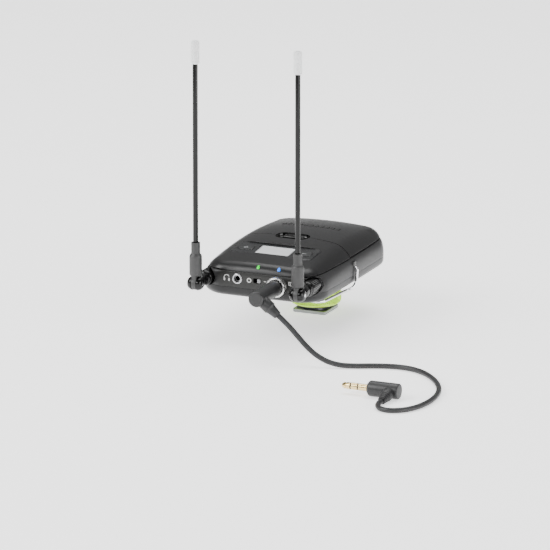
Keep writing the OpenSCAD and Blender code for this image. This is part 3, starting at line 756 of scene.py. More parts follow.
def screw_tree():
    """A cross-headed screw at each point, its head up."""
    t = Tree("screws", [("Material", "Material", None), ("Head", "Float", 2.0), ("Height", "Float", 1.0),
                        ("Shank", "Float", 1.0), ("Length", "Float", 4.0), ("Slot", "Float", 0.45)])
    edge = t.maths("MULTIPLY", "Head", 0.84)
    head = t.add("GeometryNodeMeshCone", {"Vertices": 28, "Radius Bottom": "Head", "Radius Top": edge,
                                          "Depth": "Height"})
    long_side = t.maths("MULTIPLY", "Head", 1.25)
    deep = t.maths("MULTIPLY", "Height", 1.2)
    one = t.add("GeometryNodeMeshCube", {"Size": t.vector(long_side, "Slot", deep)})
    two = t.add("GeometryNodeMeshCube", {"Size": t.vector("Slot", long_side, deep)})
    top = t.vector(0.0, 0.0, "Height")
    one_up = t.add("GeometryNodeTransform", {"Geometry": one.outputs["Mesh"], "Translation": top})
    two_up = t.add("GeometryNodeTransform", {"Geometry": two.outputs["Mesh"], "Translation": top})
    cut = t.add("GeometryNodeMeshBoolean", {"Mesh 1": head.outputs["Mesh"]}, operation="DIFFERENCE")
    for part in (one_up, two_up):
        t.tree.links.new(part.outputs["Geometry"], cut.inputs["Mesh 2"])
    body = t.add("GeometryNodeMeshCylinder", {"Vertices": 20, "Radius": "Shank", "Depth": "Length"})
    down = t.maths("MULTIPLY", "Length", -0.5)
    shank = t.add("GeometryNodeTransform", {"Geometry": body.outputs["Mesh"],
                                            "Translation": t.vector(0.0, 0.0, down)})
    whole = t.add("GeometryNodeJoinGeometry")
    t.tree.links.new(cut.outputs["Mesh"], whole.inputs["Geometry"])
    t.tree.links.new(shank.outputs["Geometry"], whole.inputs["Geometry"])
    each = t.add("GeometryNodeInstanceOnPoints", {"Points": t.start.outputs["Geometry"],
                                                  "Instance": whole.outputs["Geometry"]})
    t.finish(each.outputs["Instances"])
    return t


def rib_tree():
    """Short bars spaced evenly along a line."""
    t = Tree("ribs", [("Material", "Material", None), ("Count", "Int", 8), ("Size", "Vector", (1, 1, 1))])
    curve = t.add("GeometryNodeMeshToCurve", {"Mesh": t.start.outputs["Geometry"]})
    spaced = t.add("GeometryNodeResampleCurve", {"Curve": curve.outputs["Curve"], "Count": "Count"})
    bar = t.add("GeometryNodeMeshCube", {"Size": "Size"})
    each = t.add("GeometryNodeInstanceOnPoints", {"Points": spaced.outputs["Curve"],
                                                  "Instance": bar.outputs["Mesh"]})
    t.finish(each.outputs["Instances"])
    return t


def spring_tree():
    """A coned coil of wire standing on the origin."""
    t = Tree("spring", [("Material", "Material", None), ("Turns", "Float", 4.0), ("Wide", "Float", 3.2),
                        ("Narrow", "Float", 2.0), ("Height", "Float", 1.9), ("Wire", "Float", 0.25)])
    coil = t.add("GeometryNodeCurveSpiral", {"Resolution": 24, "Rotations": "Turns", "Start Radius": "Narrow",
                                             "End Radius": "Wide", "Height": "Height"})
    wire = t.add("GeometryNodeCurvePrimitiveCircle", {"Resolution": 10, "Radius": "Wire"})
    solid = t.add("GeometryNodeCurveToMesh", {"Curve": coil.outputs["Curve"],
                                              "Profile Curve": wire.outputs["Curve"], "Fill Caps": True})
    t.finish(solid.outputs["Mesh"])
    return t


def points_mesh(points):
    mesh = bpy.data.meshes.new("points")
    mesh.from_pydata([tuple(p) for p in points], [], [])
    return mesh


def line_mesh(points):
    mesh = bpy.data.meshes.new("line")
    mesh.from_pydata([tuple(p) for p in points], [(i, i + 1) for i in range(len(points) - 1)], [])
    return mesh


# ---------------------------------------------------------------- operators

class RECEIVER_OT_bottom_shell(bpy.types.Operator):
    """Make the bottom shell with its cell cradles and screw wells"""
    bl_idname = "receiver.bottom_shell"
    bl_label = "Bottom shell"

    def execute(self, context):
        scene = context.scene
        skirt = scene.receiver_housing.seam
        hollow = bottom_form(WALL, SEAM_LOW + 0.5, 0)
        for side in (-1, 1):
            hollow = less(hollow, pocket(side, 6.0, -37.4, 13))
            for x, y in ((19.2, -43.4), (27, 40.4)):
                hollow = less(hollow, shaft((side * x, y, 0), (0, 0, 1), 2.3, 8, 24))
        for y in CELL_Y:
            for x in (-18, 18):
                rib = less(block((x - 1, y - 6, 1), (x + 1, y + 6, 5)),
                           shaft((x - 5, y, CELL_Z), (1, 0, 0), CELL_R + 0.02, 10, 64))
                hollow = less(hollow, rib)
        shell = less(bottom_form(0, SEAM_LOW, skirt), hollow)
        for side in (-1, 1):
            shell = less(shell, pocket(side, 4.6, -39, 13))
            for x, y in ((19.2, -43.4), (27, 40.4)):
                shell = less(shell, shaft((side * x, y, -1), (0, 0, 1), 2.0, 2.2, 24))
        piece("bottom_shell_finished", shell, HOUSING, cover_finish(), "housing", ["bottom_shell"])
        return {"FINISHED"}


class RECEIVER_OT_side_band(bpy.types.Operator):
    """Make the side walls with the antenna pockets, the jack panel and the hinge eyes"""
    bl_idname = "receiver.side_band"
    bl_label = "Side band"

    def execute(self, context):
        scene = context.scene
        r = scene.receiver_housing.seam
        levels = [(r, SEAM_LOW), (r * 0.3, SEAM_LOW + r * 0.3), (0, SEAM_LOW + r), (0, 8.5), (0, 11),
                  (0, SEAM_HIGH - r), (r * 0.3, SEAM_HIGH - r * 0.3), (r, SEAM_HIGH)]
        hollow = wall_form(WALL, [(0, SEAM_LOW - 1), (0, SEAM_HIGH + 1)])
        hollow = less(hollow, block((-40, 1.2, 0), (40, 2.4, 20)))
        for side in (-1, 1):
            hollow = less(hollow, pocket(side, 6.0, -37.4, 13))
            for x, y in ((19.2, -43.4), (27, 40.4)):
                hollow = less(hollow, shaft((side * x, y, 4), (0, 0, 1), 2.3, 8.4, 24))
        band = less(wall_form(0, levels), hollow)
        for side in (-1, 1):
            well = block((side * 32.9 - 1.3, -3.1, 5.8), (side * 32.9 + 1.3, 0.5, 12.6))
            band = less(band, pocket(side, 4.6, -39, 13), well)
        slot = moved(plate(4.3, 2.5, 0.6, [(0, -3), (0, 3)]),
                     Matrix.Translation((0.3, -HALF_L, ROW_Z)) @ Matrix.Rotation(math.pi / 2, 4, "X"))
        band = less(band, slot, shaft((-10.9, -46, ROW_Z), (0, -1, 0), 2.7, 6),
                    shaft((OUTPUT_X, -46, OUTPUT_Z), (0, -1, 0), 3.3, 6))
        eyes = []
        for x in (-17.4, 0, 17.4):
            eyes.append(shaft((x - 3, HINGE_Y, HINGE_Z), (1, 0, 0), 1.2, 6, 32))
            eyes.append(block((x - 2.9, HINGE_Y - 1.1, SEAM_HIGH - 1.2), (x + 2.9, HINGE_Y + 0.25, HINGE_Z)))
        # Painted shade: a near-black backing inside the open seams and under the door line, a dark sheet put where
        # there is only shade in the gaps.
        shade_backing = less(wall_form(0.5, [(0, 13.6), (0, 14.3)]), wall_form(1.6, [(0, 13), (0, 15)]),
                      pocket(-1, 4.6, -39, 13), pocket(1, 4.6, -39, 13),
                      *[block((x - 3.1, 45, 10), (x + 3.1, 52, 20)) for x in (-17.4, 0, 17.4)],
                      *[block((x - 5.6, 45, 10), (x + 5.6, 52, 20)) for x in (-8.7, 8.7)])
        lip = less(wall_form(WALL + 0.2, [(0, 12.4), (0, 15.5)]), wall_form(WALL + 0.9, [(0, 12), (0, 16)]),
                   half_space(43, 60), half_space(-60, -37))
        sill = less(within(top_form(SEAM_HIGH + 0.4, WALL + 0.1, 0), half_space(DOOR_LINE - 3, DOOR_LINE + 1.6)),
                    top_form(SEAM_HIGH + 0.3, WALL + 0.9, 0), block((-12, -10, 10), (12, 10, 30)))
        shade_backing = joined(shade_backing, lip, sill)
        piece("seam_shade_backing", shade_backing, HOUSING, rubber("seam_shade_black", (0.004, 0.004, 0.004), 0.7), "housing")
        piece("side_band_finished", joined(band, *eyes), HOUSING, band_finish(), "housing", ["mid_frame"])
        return {"FINISHED"}


class RECEIVER_OT_top_cover(bpy.types.Operator):
    """Make the front half of the crowned cover with its display recess"""
    bl_idname = "receiver.top_cover"
    bl_label = "Top cover"

    def execute(self, context):
        shell = within(top_shell(SEAM_HIGH), half_space(-60, DOOR_LINE - SEAM_GAP - DOOR_RELIEF[0]))
        piece("top_cover_finished", shell, HOUSING, cover_finish(), "housing", ["top_cover"],
              other=gloss_black("recess_gloss", 0.14), where=in_latch_recess)
        return {"FINISHED"}


class RECEIVER_OT_battery_door(bpy.types.Operator):
    """Make the hinged battery door with its knuckles and its row of ribs"""
    bl_idname = "receiver.battery_door"
    bl_label = "Battery door"

    def execute(self, context):
        scene = context.scene
        shell = within(top_shell(SEAM_HIGH + SEAM_GAP), half_space(DOOR_LINE + DOOR_RELIEF[1], 60))
        shell = less(shell, block((-2.3, -2.25, 16), (2.3, 1.4, BODY_H + 1)),
                     shaft((-21, HINGE_Y, HINGE_Z), (1, 0, 0), 1.6, 42, 32))
        knuckles = [shaft((side * 8.7 - 5.4, HINGE_Y, HINGE_Z), (1, 0, 0), 1.2, 10.8, 32) for side in (-1, 1)]
        webs = [block((side * 8.7 - 5.3, HINGE_Y - 1, HINGE_Z), (side * 8.7 + 5.3, HINGE_Y + 0.3, HINGE_Z + 2.2))
                for side in (-1, 1)]
        piece("battery_door_finished", joined(shell, *knuckles, *webs), HOUSING, cover_finish(), "door",
              ["battery_door"], other=gloss_black("recess_gloss", 0.14), where=in_latch_recess)
        line = [(x, 21.5, crown(x, 21.5) + 0.02) for x in range(-15, 16)]
        gloss = gloss_black("door_rib_gloss")
        ribs = grown(line_mesh(line), rib_tree(), gloss, Count=scene.receiver_housing.rib_count,
                     Size=(1.7, 2.6, 0.26))
        piece("battery_door_ribs", ribs, HOUSING, gloss, "door")
        refinish("door_hinge_pin", bright_metal("hinge_pin_steel", (0.6, 0.6, 0.62), 0.28))
        return {"FINISHED"}


class RECEIVER_OT_latch(bpy.types.Operator):
    """Make the sliding latch with its grip ribs"""
    bl_idname = "receiver.latch"
    bl_label = "Door latch"

    def execute(self, context):
        gloss = gloss_black("latch_gloss", 0.12)
        slider = moved(plate(12, 2.9, 1.1, [(0.25, 0), (0, 0.15), (0, 0.9), (0.12, 1.1), (0.35, 1.2)]),
                       Matrix.Translation((0, -0.95, LATCH_FLOOR + 0.1)))
        stem = block((-1.9, -1.9, 17.6), (1.9, -0.4, LATCH_FLOOR + 0.2), 0.1)
        hook = block((-4, -2.4, 16.6), (4, 0.2, 18), 0.15)
        grip = grown(line_mesh([(-4.6, -0.95, LATCH_FLOOR + 1.32), (4.6, -0.95, LATCH_FLOOR + 1.32)]), rib_tree(),
                     gloss, Count=9, Size=(0.45, 2.1, 0.22))
        piece("door_latch_finished", joined(slider, stem, hook, grip), HOUSING, gloss, "latch", ["door_latch"])
        return {"FINISHED"}


class RECEIVER_OT_display(bpy.types.Operator):
    """Make the display plate, the screen and the two keys"""
    bl_idname = "receiver.display"
    bl_label = "Display and keys"

    def execute(self, context):
        look = context.scene.receiver_display
        place = panel_place(0, PANEL_L / 2)
        sheet = plate(PANEL_W, PANEL_L, 3, [(0, -1), (0, -0.15), (0.05, -0.05), (0.15, 0)], 10)
        screen_y = 2.9 + 5.5 - PANEL_L / 2
        window = moved(plate(19, 11.0, 0.5, [(0, -3), (0, -0.15), (-0.15, 0.1)], 4),
                       Matrix.Translation((0, screen_y, 0)))
        sheet = less(sheet, window)
        key_y = 8.2 - PANEL_L / 2
        for side in (-1, 1):
            sheet = less(sheet, moved(plate(8.8, 6.0, 2.6, [(0, -3), (0, -0.12), (-0.12, 0.1)], 8),
                                      Matrix.Translation((side * 16.2, key_y, 0))))
        plate_finish = surface("display_plate", look.plate, rough=0.3, grain=2.0, depth=0.0005, mottle=0.08,
                               polish=0.05, gloss=0.4)
        piece("display_plate", sheet, HOUSING @ place, plate_finish, "housing", ["display_bezel"])

        def screen_tint(n, tint):
            frame_dark = rgba(look.screen, 0.55)
            inside = n.band("X", -0.0088, 0.0088, 0.0002)
            return n.mix(inside, frame_dark, tint)

        glass = moved(plate(18.9, 10.9, 0.45, [(0, -1.2), (0, -0.3), (0.08, -0.2)], 4),
                      Matrix.Translation((0, screen_y, 0)))
        under = block((-10.3, screen_y - 6.4, -3.4), (10.3, screen_y + 6.4, -1.05), 0.1)
        piece("screen", joined(glass, under), HOUSING @ place,
              surface("screen_glass", look.screen, rough=0.22, grain=3.0, depth=0.001, mottle=0.06, polish=0.04,
                      over=screen_tint), "housing", ["lcd_module"])
        lift = look.key_lift
        for side, name in ((-1, "left"), (1, "right")):
            cap = plate(8.4, 5.6, 2.4, [(0, -0.55), (0, lift - 0.16), (0.06, lift - 0.05), (0.18, lift),
                                        (1.2, lift - 0.02), (1.9, lift - 0.08)], 8)
            stem = turned([(0, -3.6), (1.2, -3.6), (1.2, -0.4), (0, -0.4)], 24)
            spot = Matrix.Translation((side * 16.2, key_y, 0))
            key = moved(joined(cap, stem), spot)
            piece(f"{name}_key_cap", key, HOUSING @ place,
                  surface("key_rubber", look.plate, rough=0.38, grain=0.3, depth=0.01), f"{name}_button",
                  [f"{name}_key"])
            mark = self.mark(side)
            piece(f"{name}_key_mark", moved(mark, Matrix.Translation((0, 0, lift - 0.035)) @ spot),
                  HOUSING @ place, surface("key_print", (0.32, 0.33, 0.33), rough=0.5), f"{name}_button")
        return {"FINISHED"}

    @staticmethod
    def mark(side):
        """A plain ring on the left key, a bar on the right one."""
        if side < 0:
            return turned([(0.75, 0), (1.05, 0), (1.05, 0.05), (0.75, 0.05)], 32, ring=True)
        return plate(2.4, 0.45, 0.2, [(0, 0), (0, 0.05)], 4)


class RECEIVER_OT_indicators(bpy.types.Operator):
    """Make the two lit lenses on the cover's front edge"""
    bl_idname = "receiver.indicators"
    bl_label = "Indicator lights"

    def execute(self, context):
        look = context.scene.receiver_row
        r = END_EDGE
        height = (BODY_H - CROWN_ALONG + math.sqrt((CROWN_ALONG - r) ** 2 - (HALF_L - r + CROWN_Y) ** 2))
        for name, x, colour in (("green", 0.3, look.green), ("blue", 11.7, look.blue)):
            n = Nodes(f"{name}_lens")
            n.give("Base Color", rgba(colour))
            n.give("Roughness", n.spread(n.noise(0.6), 0.12, 0.25))
            n.give("Emission Color", n.mix(n.spread(n.noise(1.2), 0, 1), rgba(colour, 0.8), rgba(colour, 1.1)))
            n.give("Emission Strength", look.glow)
            drop = []
            for d, z in ((0, -2.8), (0, 0.0), (0.12, 0.1), (0.4, 0.16)):
                ring = []
                for k in range(36):
                    a = math.tau * k / 36
                    reach = 0.78 - d + (0.62 * max(0.0, math.sin(a)) ** 4 if z > -1 else 0)
                    ring.append((reach * math.cos(a), reach * math.sin(a), z))
                drop.append(ring)
            place = (Matrix.Translation((x, front_face(x) + r, height)) @ Matrix.Rotation(math.radians(48.6), 4, "X")
                     @ Matrix.Translation((0, 0, r - 0.02)))
            piece(f"{name}_lens_finished", moved(skin(drop), place), HOUSING, n.finish, "housing",
                  [f"{name}_led"])
        return {"FINISHED"}


class RECEIVER_OT_jack_row(bpy.types.Operator):
    """Make the headphone ring, the switch, the output bushing and the printed marks"""
    bl_idname = "receiver.jack_row"
    bl_label = "Jack panel row"

    def execute(self, context):
        look = context.scene.receiver_row
        face = front_face(-10.9)
        ring = turned(rounded([(1.78, 0), (2.7, 0), (2.7, 0.45), (2.35, 0.66), (1.9, 0.6), (1.78, 0.4)], 0.08, 2,
                              closed=True), 56, ring=True)
        chrome = bright_metal("socket_chrome", (0.45, 0.45, 0.46), 0.22)
        piece("headphone_ring", moved(ring, along((-10.9, face + 0.3, ROW_Z), (0, -1, 0))), HOUSING, chrome,
              "housing", ["headphone_bezel"])
        refinish("headphone_jack", gloss_black("socket_black", 0.3))
        spring = turned([(1.35, 0), (1.72, 0), (1.72, 0.5), (1.35, 0.5)], 40, ring=True)
        piece("socket_contact", moved(spring, along((-10.9, face + 1.6, ROW_Z), (0, -1, 0))), HOUSING,
              bright_metal("contact_nickel", (0.35, 0.35, 0.36), 0.3), "housing")
        refinish("power_switch_body", gloss_black("switch_black", 0.35))
        knob = joined(block((0.4, -49.3, ROW_Z - 0.9), (2.1, -45.5, ROW_Z + 0.9), 0.16),
                      *[block((0.62 + 0.42 * k, -49.42, ROW_Z - 0.72), (0.84 + 0.42 * k, -49.2, ROW_Z + 0.72), 0.05)
                        for k in range(3)],
                      block((0.1, -46.8, ROW_Z - 1.15), (2.4, -44.4, ROW_Z + 1.15), 0.1))
        piece("power_knob_finished", knob, HOUSING, surface("knob_grey", (0.3, 0.3, 0.31), rough=0.35), "switch_slider",
              ["power_switch_knob"])
        bushing = turned(rounded([(1.8, -1.8), (3.25, -1.8), (3.25, 2.55), (1.8, 2.55)], 0.12, 2, closed=True), 48,
                         ring=True)
        piece("output_bushing", moved(bushing, along((OUTPUT_X, -HALF_L, OUTPUT_Z), (0, -1, 0))), HOUSING, chrome,
              "housing")
        refinish("output_jack", surface("jack_body", (0.35, 0.35, 0.36), rough=0.35, metal=0.8))
        self.marks(look)
        return {"FINISHED"}

    def marks(self, look):
        """Printed marks: headphones, a dot ring, a dash and a square with a dot."""
        thick = 0.05

        def printed(name, flat, x, z):
            place = (Matrix.Translation((x, front_face(x), z)) @ Matrix.Rotation(math.pi / 2, 4, "X")
                     @ Matrix.Translation((0, 0, -thick / 2 - 0.01)))
            piece(name, moved(flat, place), HOUSING, ink, "housing")

        ink = surface("panel_print", look.marks, rough=0.5, grain=0.1, depth=0.01, mottle=0.05)
        arc = []
        for z in (0, thick):
            outer = [(1.68 * math.cos(a), 1.68 * math.sin(a) + 0.1, z)
                     for a in (math.radians(-12 + 204 * k / 32) for k in range(33))]
            inner = [(1.3 * math.cos(a), 1.3 * math.sin(a) + 0.1, z)
                     for a in (math.radians(192 - 204 * k / 32) for k in range(33))]
            arc.append(outer + inner)
        cups = [moved(plate(0.85, 1.45, 0.3, [(0, 0), (0, thick + 0.01)], 4), Matrix.Translation((x, -0.85, 0)))
                for x in (-1.28, 1.28)]
        printed("headphone_mark", joined(skin(arc), *cups), -16.7, ROW_Z)
        printed("switch_ring_mark", turned([(0.72, 0), (1.25, 0), (1.25, thick), (0.72, thick)], 36, ring=True),
                -4.2, ROW_Z - 0.1)
        printed("switch_dash_mark", plate(1.1, 0.38, 0.15, [(0, 0), (0, thick)], 3), 4.6, ROW_Z + 0.1)
        square = less(plate(2.0, 2.0, 0.35, [(0, 0), (0, thick)], 4),
                      plate(1.35, 1.35, 0.2, [(0, -1), (0, 1)], 4))
        printed("output_mark", joined(square, turned([(0, 0), (0.36, 0), (0.36, thick), (0, thick)], 20)), 18.6,
                ROW_Z + 0.4)


class RECEIVER_OT_antennas(bpy.types.Operator):
    """Make both antennas: coupling nut, fork, pin, rubber sleeve, whip and cap"""
    bl_idname = "receiver.antennas"
    bl_label = "Antennas"

    def execute(self, context):
        look = context.scene.receiver_antennas
        gloss = gloss_black("fork_gloss", 0.17)
        steel = bright_metal("pin_steel", (0.72, 0.72, 0.74), 0.18)
        rubbered = rubber("sleeve_rubber", look.sleeve, 0.5)
        whip_coat = surface("whip_coat", look.whip, rough=0.22, grain=0.8, depth=0.002, mottle=0.2, polish=0.05,
                            gloss=0.3)
        cap = Nodes("cap_clear_white")
        cap.give("Base Color", cap.mix(cap.spread(cap.noise(2.0), 0, 1), rgba(look.tip, 0.96), rgba(look.tip)))
        cap.give("Roughness", cap.spread(cap.noise(0.8), 0.22, 0.36))
        cap.give("Subsurface Weight", 0.4)
        cap.give("Subsurface Radius", (0.002, 0.002, 0.002))
        cap.give("Transmission Weight", 0.12)
        knurl = knurl_tree()
        for side, name in ((-1, "left"), (1, "right")):
            port = Matrix.Translation((side * PORT_X, 0, PORT_Z))
            nut = turned(rounded([(3.15, 40.8), (3.85, 40.8), (3.95, 41.1), (3.95, 50.2), (3.6, 50.9), (3.15, 50.9)],
                                 0.12, 2, closed=True), 48, ring=True)
            nut = grown(nut, knurl, gloss, Radius=3.93, Count=look.nut_ridges, Rows=1, Ridge=0.2, Height=8.4,
                        Low=41.6)
            neck = turned(rounded([(0, 48.6), (3.12, 48.6), (3.12, 51.0), (3.62, 51.05), (3.62, 52.3), (3.05, 52.6),
                                   (3.05, 53.6), (3.4, 53.9), (3.4, 57.0), (3.0, 58.4), (2.6, 59.6),
                                   (0, 59.6)], 0.14, 2), 56)
            ball = []
            for k in range(25):
                a = math.pi * k / 24
                ball.append((3.78 * math.sin(a) ** 0.55 if 0 < k < 24 else 0, -4.2 * math.cos(a)))
            ball = moved(turned(ball, 56), along((0, ELBOW_Y, 0), (1, 0, 0)))
            turn = along((0, 0, 0), (0, -1, 0))
            fork = plus(ball, moved(neck, turn))
            slot = block((-1.5, -69, -6), (1.5, -57.8, 6), 0.1)
            bore = shaft((-6, ELBOW_Y, 0), (1, 0, 0), 0.82, 12, 24)
            fork = less(fork, slot, bore)
            piece(f"{name}_fork", joined(fork, moved(nut, turn)), HOUSING @ port, gloss, f"{name}_base",
                  [f"{name}_antenna_base"])
            pin = turned(rounded([(0, -4.3), (0.7, -4.22), (1.15, -4.05), (1.15, -3.92), (0.8, -3.9), (0.8, 3.9),
                                  (1.15, 3.92), (1.15, 4.05), (0.7, 4.22), (0, 4.3)], 0.05, 2), 32)
            piece(f"{name}_elbow_pin", moved(pin, along((0, ELBOW_Y, 0), (1, 0, 0))), HOUSING @ port, steel,
                  f"{name}_base", [f"{name}_antenna_pin"])
            elbow = port @ Matrix.Translation((0, ELBOW_Y, 0))
            sleeve = turned(rounded([(0, 4.0), (2.75, 4.0), (3.25, 4.7), (3.25, 14.3), (2.95, 15.1), (2.3, 15.8),
                                     (2.3, 21.6), (1.36, 21.6), (1.36, 21.0), (0, 21.0)], 0.22, 3), 56)
            tongue = moved(turned(rounded([(0, -1.3), (3.45, -1.3), (3.45, 1.3), (0, 1.3)], 0.15, 2), 48),
                           along((0, 0, 0), (1, 0, 0)))
            root = block((-1.3, -2.5, 0), (1.3, 2.5, 5.2), 0.2)
            tongue = less(plus(tongue, root), shaft((-3, 0, 0), (1, 0, 0), 0.85, 6, 24))
            piece(f"{name}_sleeve", joined(sleeve, tongue), HOUSING @ elbow, rubbered, f"{name}_antenna",
                  [f"{name}_antenna_sleeve"])
            whip = turned(rounded([(0, 20.0), (1.35, 20.0), (1.35, 121.5), (0, 121.5)], 0.1, 2), 32)
            piece(f"{name}_whip_finished", whip, HOUSING @ elbow, whip_coat, f"{name}_antenna", [f"{name}_whip"])
            top = turned(rounded([(0, 115.4), (1.4, 115.4), (1.4, 115), (1.9, 115), (2.2, 115.5), (2.2, 125.4),
                                  (1.95, 126.4), (1.2, 126.9), (0, 127)], 0.25, 3), 40)
            piece(f"{name}_cap", top, HOUSING @ elbow, cap.finish, f"{name}_antenna", [f"{name}_whip_tip"])
        return {"FINISHED"}


# Lead from the strain relief to the far plug, in metres in the row frame.
CORD_ROUTE = [
    (0.0224, -0.1, 0.0247), (0.0256, -0.1, 0.0221), (0.0296, -0.1, 0.0186), (0.034, -0.1, 0.0142),
    (0.0385, -0.1, 0.0099), (0.0435, -0.0997, 0.0061), (0.0495, -0.099, 0.0032), (0.056, -0.0976, 0.0018),
    (0.063, -0.0952, 0.0015), (0.07, -0.092, 0.0015), (0.077, -0.0894, 0.0015), (0.084, -0.0882, 0.0015),
    (0.091, -0.089, 0.0015), (0.0976, -0.092, 0.0015), (0.1034, -0.0966, 0.0015), (0.109, -0.1028, 0.0015),
    (0.114, -0.11, 0.0015), (0.118, -0.118, 0.0015), (0.1206, -0.1266, 0.0015), (0.1218, -0.1354, 0.0015),
    (0.1216, -0.1442, 0.0015), (0.1198, -0.1524, 0.0015), (0.116, -0.159, 0.0015), (0.1104, -0.1626, 0.0015),
    (0.105, -0.1618, 0.0015), (0.1016, -0.1578, 0.0016), (0.1005, -0.1538, 0.0018), (0.1005, -0.151, 0.002)]


class RECEIVER_OT_lead(bpy.types.Operator):
    """Make the output lead: pin, locking ring, right-angle plugs, strain reliefs and cord"""
    bl_idname = "receiver.lead"
    bl_label = "Output lead"

    def execute(self, context):
        look = context.scene.receiver_lead
        jacket = rubber("plug_jacket", look.jacket, 0.42)
        ring = turned(rounded([(2.3, 0), (4.75, 0), (5.05, 0.35), (5.05, 3.65), (4.7, 4.0), (4.3, 4.0), (4.25, 3.7),
                               (2.3, 3.7)], 0.1, 2, closed=True), 64, ring=True)
        metal = bright_metal("ring_nickel", (0.8, 0.8, 0.79), 0.24)
        ring = grown(ring, knurl_tree(), metal, Radius=5.03, Count=look.ring_ridges, Rows=1, Ridge=0.32,
                     Height=3.7, Low=0.2)
        piece("locking_ring_finished", moved(ring, along((OUTPUT_X, RING_Y, OUTPUT_Z), (0, -1, 0))), HOUSING, metal,
              "lock_ring", ["locking_ring"])
        long = PLUG_Y - 0.3 - PLUG_END
        barrel = turned(rounded([(0, 0), (3.95, 0), (4.12, 0.35), (4.12, long - 0.5), (3.7, long - 0.05), (3.2, long),
                                 (0, long)], 0.3, 3), 64)
        collar = turned([(0, 0), (2.15, 0), (2.15, 2.6), (0, 2.6)], 40)
        piece("plug_barrel_finished",
              joined(moved(barrel, along((OUTPUT_X, PLUG_Y - 0.3, OUTPUT_Z), (0, -1, 0))),
                     moved(collar, along((OUTPUT_X, RING_Y - 2.6, OUTPUT_Z), (0, -1, 0)))),
              HOUSING, jacket, "plug", ["plug_barrel"])
        way = (math.cos(math.radians(BRANCH_ANGLE)), 0, -math.sin(math.radians(BRANCH_ANGLE)))
        relief = turned(rounded([(0, 2.6), (3.3, 2.6), (3.3, 7.9), (3.0, 8.1), (2.75, 8.6), (2.55, 9.8), (2.1, 13.3),
                                 (1.5, 13.3), (1.5, 12.9), (0, 12.9)], 0.15, 2), 48)
        piece("plug_strain_relief_finished", moved(relief, along((OUTPUT_X, BRANCH_Y, OUTPUT_Z), way)), HOUSING,
              jacket, "plug", ["plug_strain_relief"])
        gold = bright_metal("pin_gold", (0.86, 0.66, 0.32), 0.2)
        dark = gloss_black("pin_insulator", 0.3)
        piece("plug_pin_finished",
              moved(self.pin(-PLUG_Y - 37.0), along((OUTPUT_X, PLUG_Y, OUTPUT_Z), (0, 1, 0))), HOUSING, gold, "plug",
              ["plug_pin"], other=dark, where=lambda p: self.is_band(p.y - PLUG_Y, -PLUG_Y - 37.0))
        far = Matrix.Translation(FAR_PLUG)
        far_barrel = turned(rounded([(0, -4.5), (3.3, -4.5), (3.75, -4.4), (4.0, -4.0), (4.0, 11.2), (3.4, 11.9),
                                     (2.6, 12.5), (0, 12.5)], 0.3, 3), 56)
        far_jacket = rubber("far_plug_jacket", look.jacket, 0.42)
        barrel = piece("far_plug_barrel_finished", moved(far_barrel, along((0, 0, 0), (-1, 0, 0))), SHOE @ far,
                       far_jacket, "plug", ["far_plug_barrel"])
        pin = piece("far_plug_pin_finished", moved(self.pin(12.4), along((-12.5, 0, 0), (-1, 0, 0))), SHOE @ far, gold,
                    "plug", ["far_plug_pin"], other=dark, where=lambda p: self.is_band(-p.x - 12.5, 12.4))
        slope = math.radians(99.1)
        far_way = (0, -math.sin(slope), math.cos(slope))
        ribs = [(0, 2.6), (3.1, 2.6), (3.1, 6.8)]
        for k in range(4):
            h = 7.0 + 1.45 * k
            r = 2.85 - 0.24 * k
            ribs += [(r, h), (r, h + 0.85), (r - 0.38, h + 0.95), (r - 0.42, h + 1.35)]
        ribs += [(1.8, 12.9), (0, 12.9)]
        far_relief = piece("far_strain_relief_finished", moved(turned(rounded(ribs, 0.1, 2), 40),
                                                               along((0, 0, 0), far_way)), SHOE @ far, far_jacket,
                           "plug", ["far_strain_relief"])
        self.cord(look, [barrel, pin, far_relief])
        return {"FINISHED"}

    @staticmethod
    def pin(long):
        """A three-pole pin from its shoulder to its tip."""
        profile = [(0, 0), (1.73, 0)]
        for h in (long - 7.6, long - 3.6):
            profile += [(1.73, h - 0.05), (1.68, h), (1.68, h + 0.7), (1.73, h + 0.75)]
        profile += [(1.73, long - 1.2), (1.3, long - 0.5), (1.72, long + 0.1), (0.95, long + 1.45), (0, long + 1.6)]
        return turned(profile, 36)

    @staticmethod
    def is_band(along_pin, long):
        return any(h < along_pin < h + 0.7 for h in (long - 7.6, long - 3.6))

    @staticmethod
    def cord(look, far_pieces):
        route = smooth_route(CORD_ROUTE, 5)
        curve = bpy.data.curves.new("cord_line", "CURVE")
        curve.dimensions = "3D"
        curve.bevel_depth = 0.00138
        curve.bevel_resolution = 4
        curve.use_fill_caps = True
        spline = curve.splines.new("POLY")
        spline.points.add(len(route) - 1)
        for point, place in zip(spline.points, route):
            point.co = (*place, 1)
        curve.materials.append(rubber("cord_jacket", look.jacket, 0.5))
        obj = bpy.data.objects.new("cord_finished", curve)
        bpy.context.scene.collection.objects.link(obj)
        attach(obj, "plug")
        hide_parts("cord")


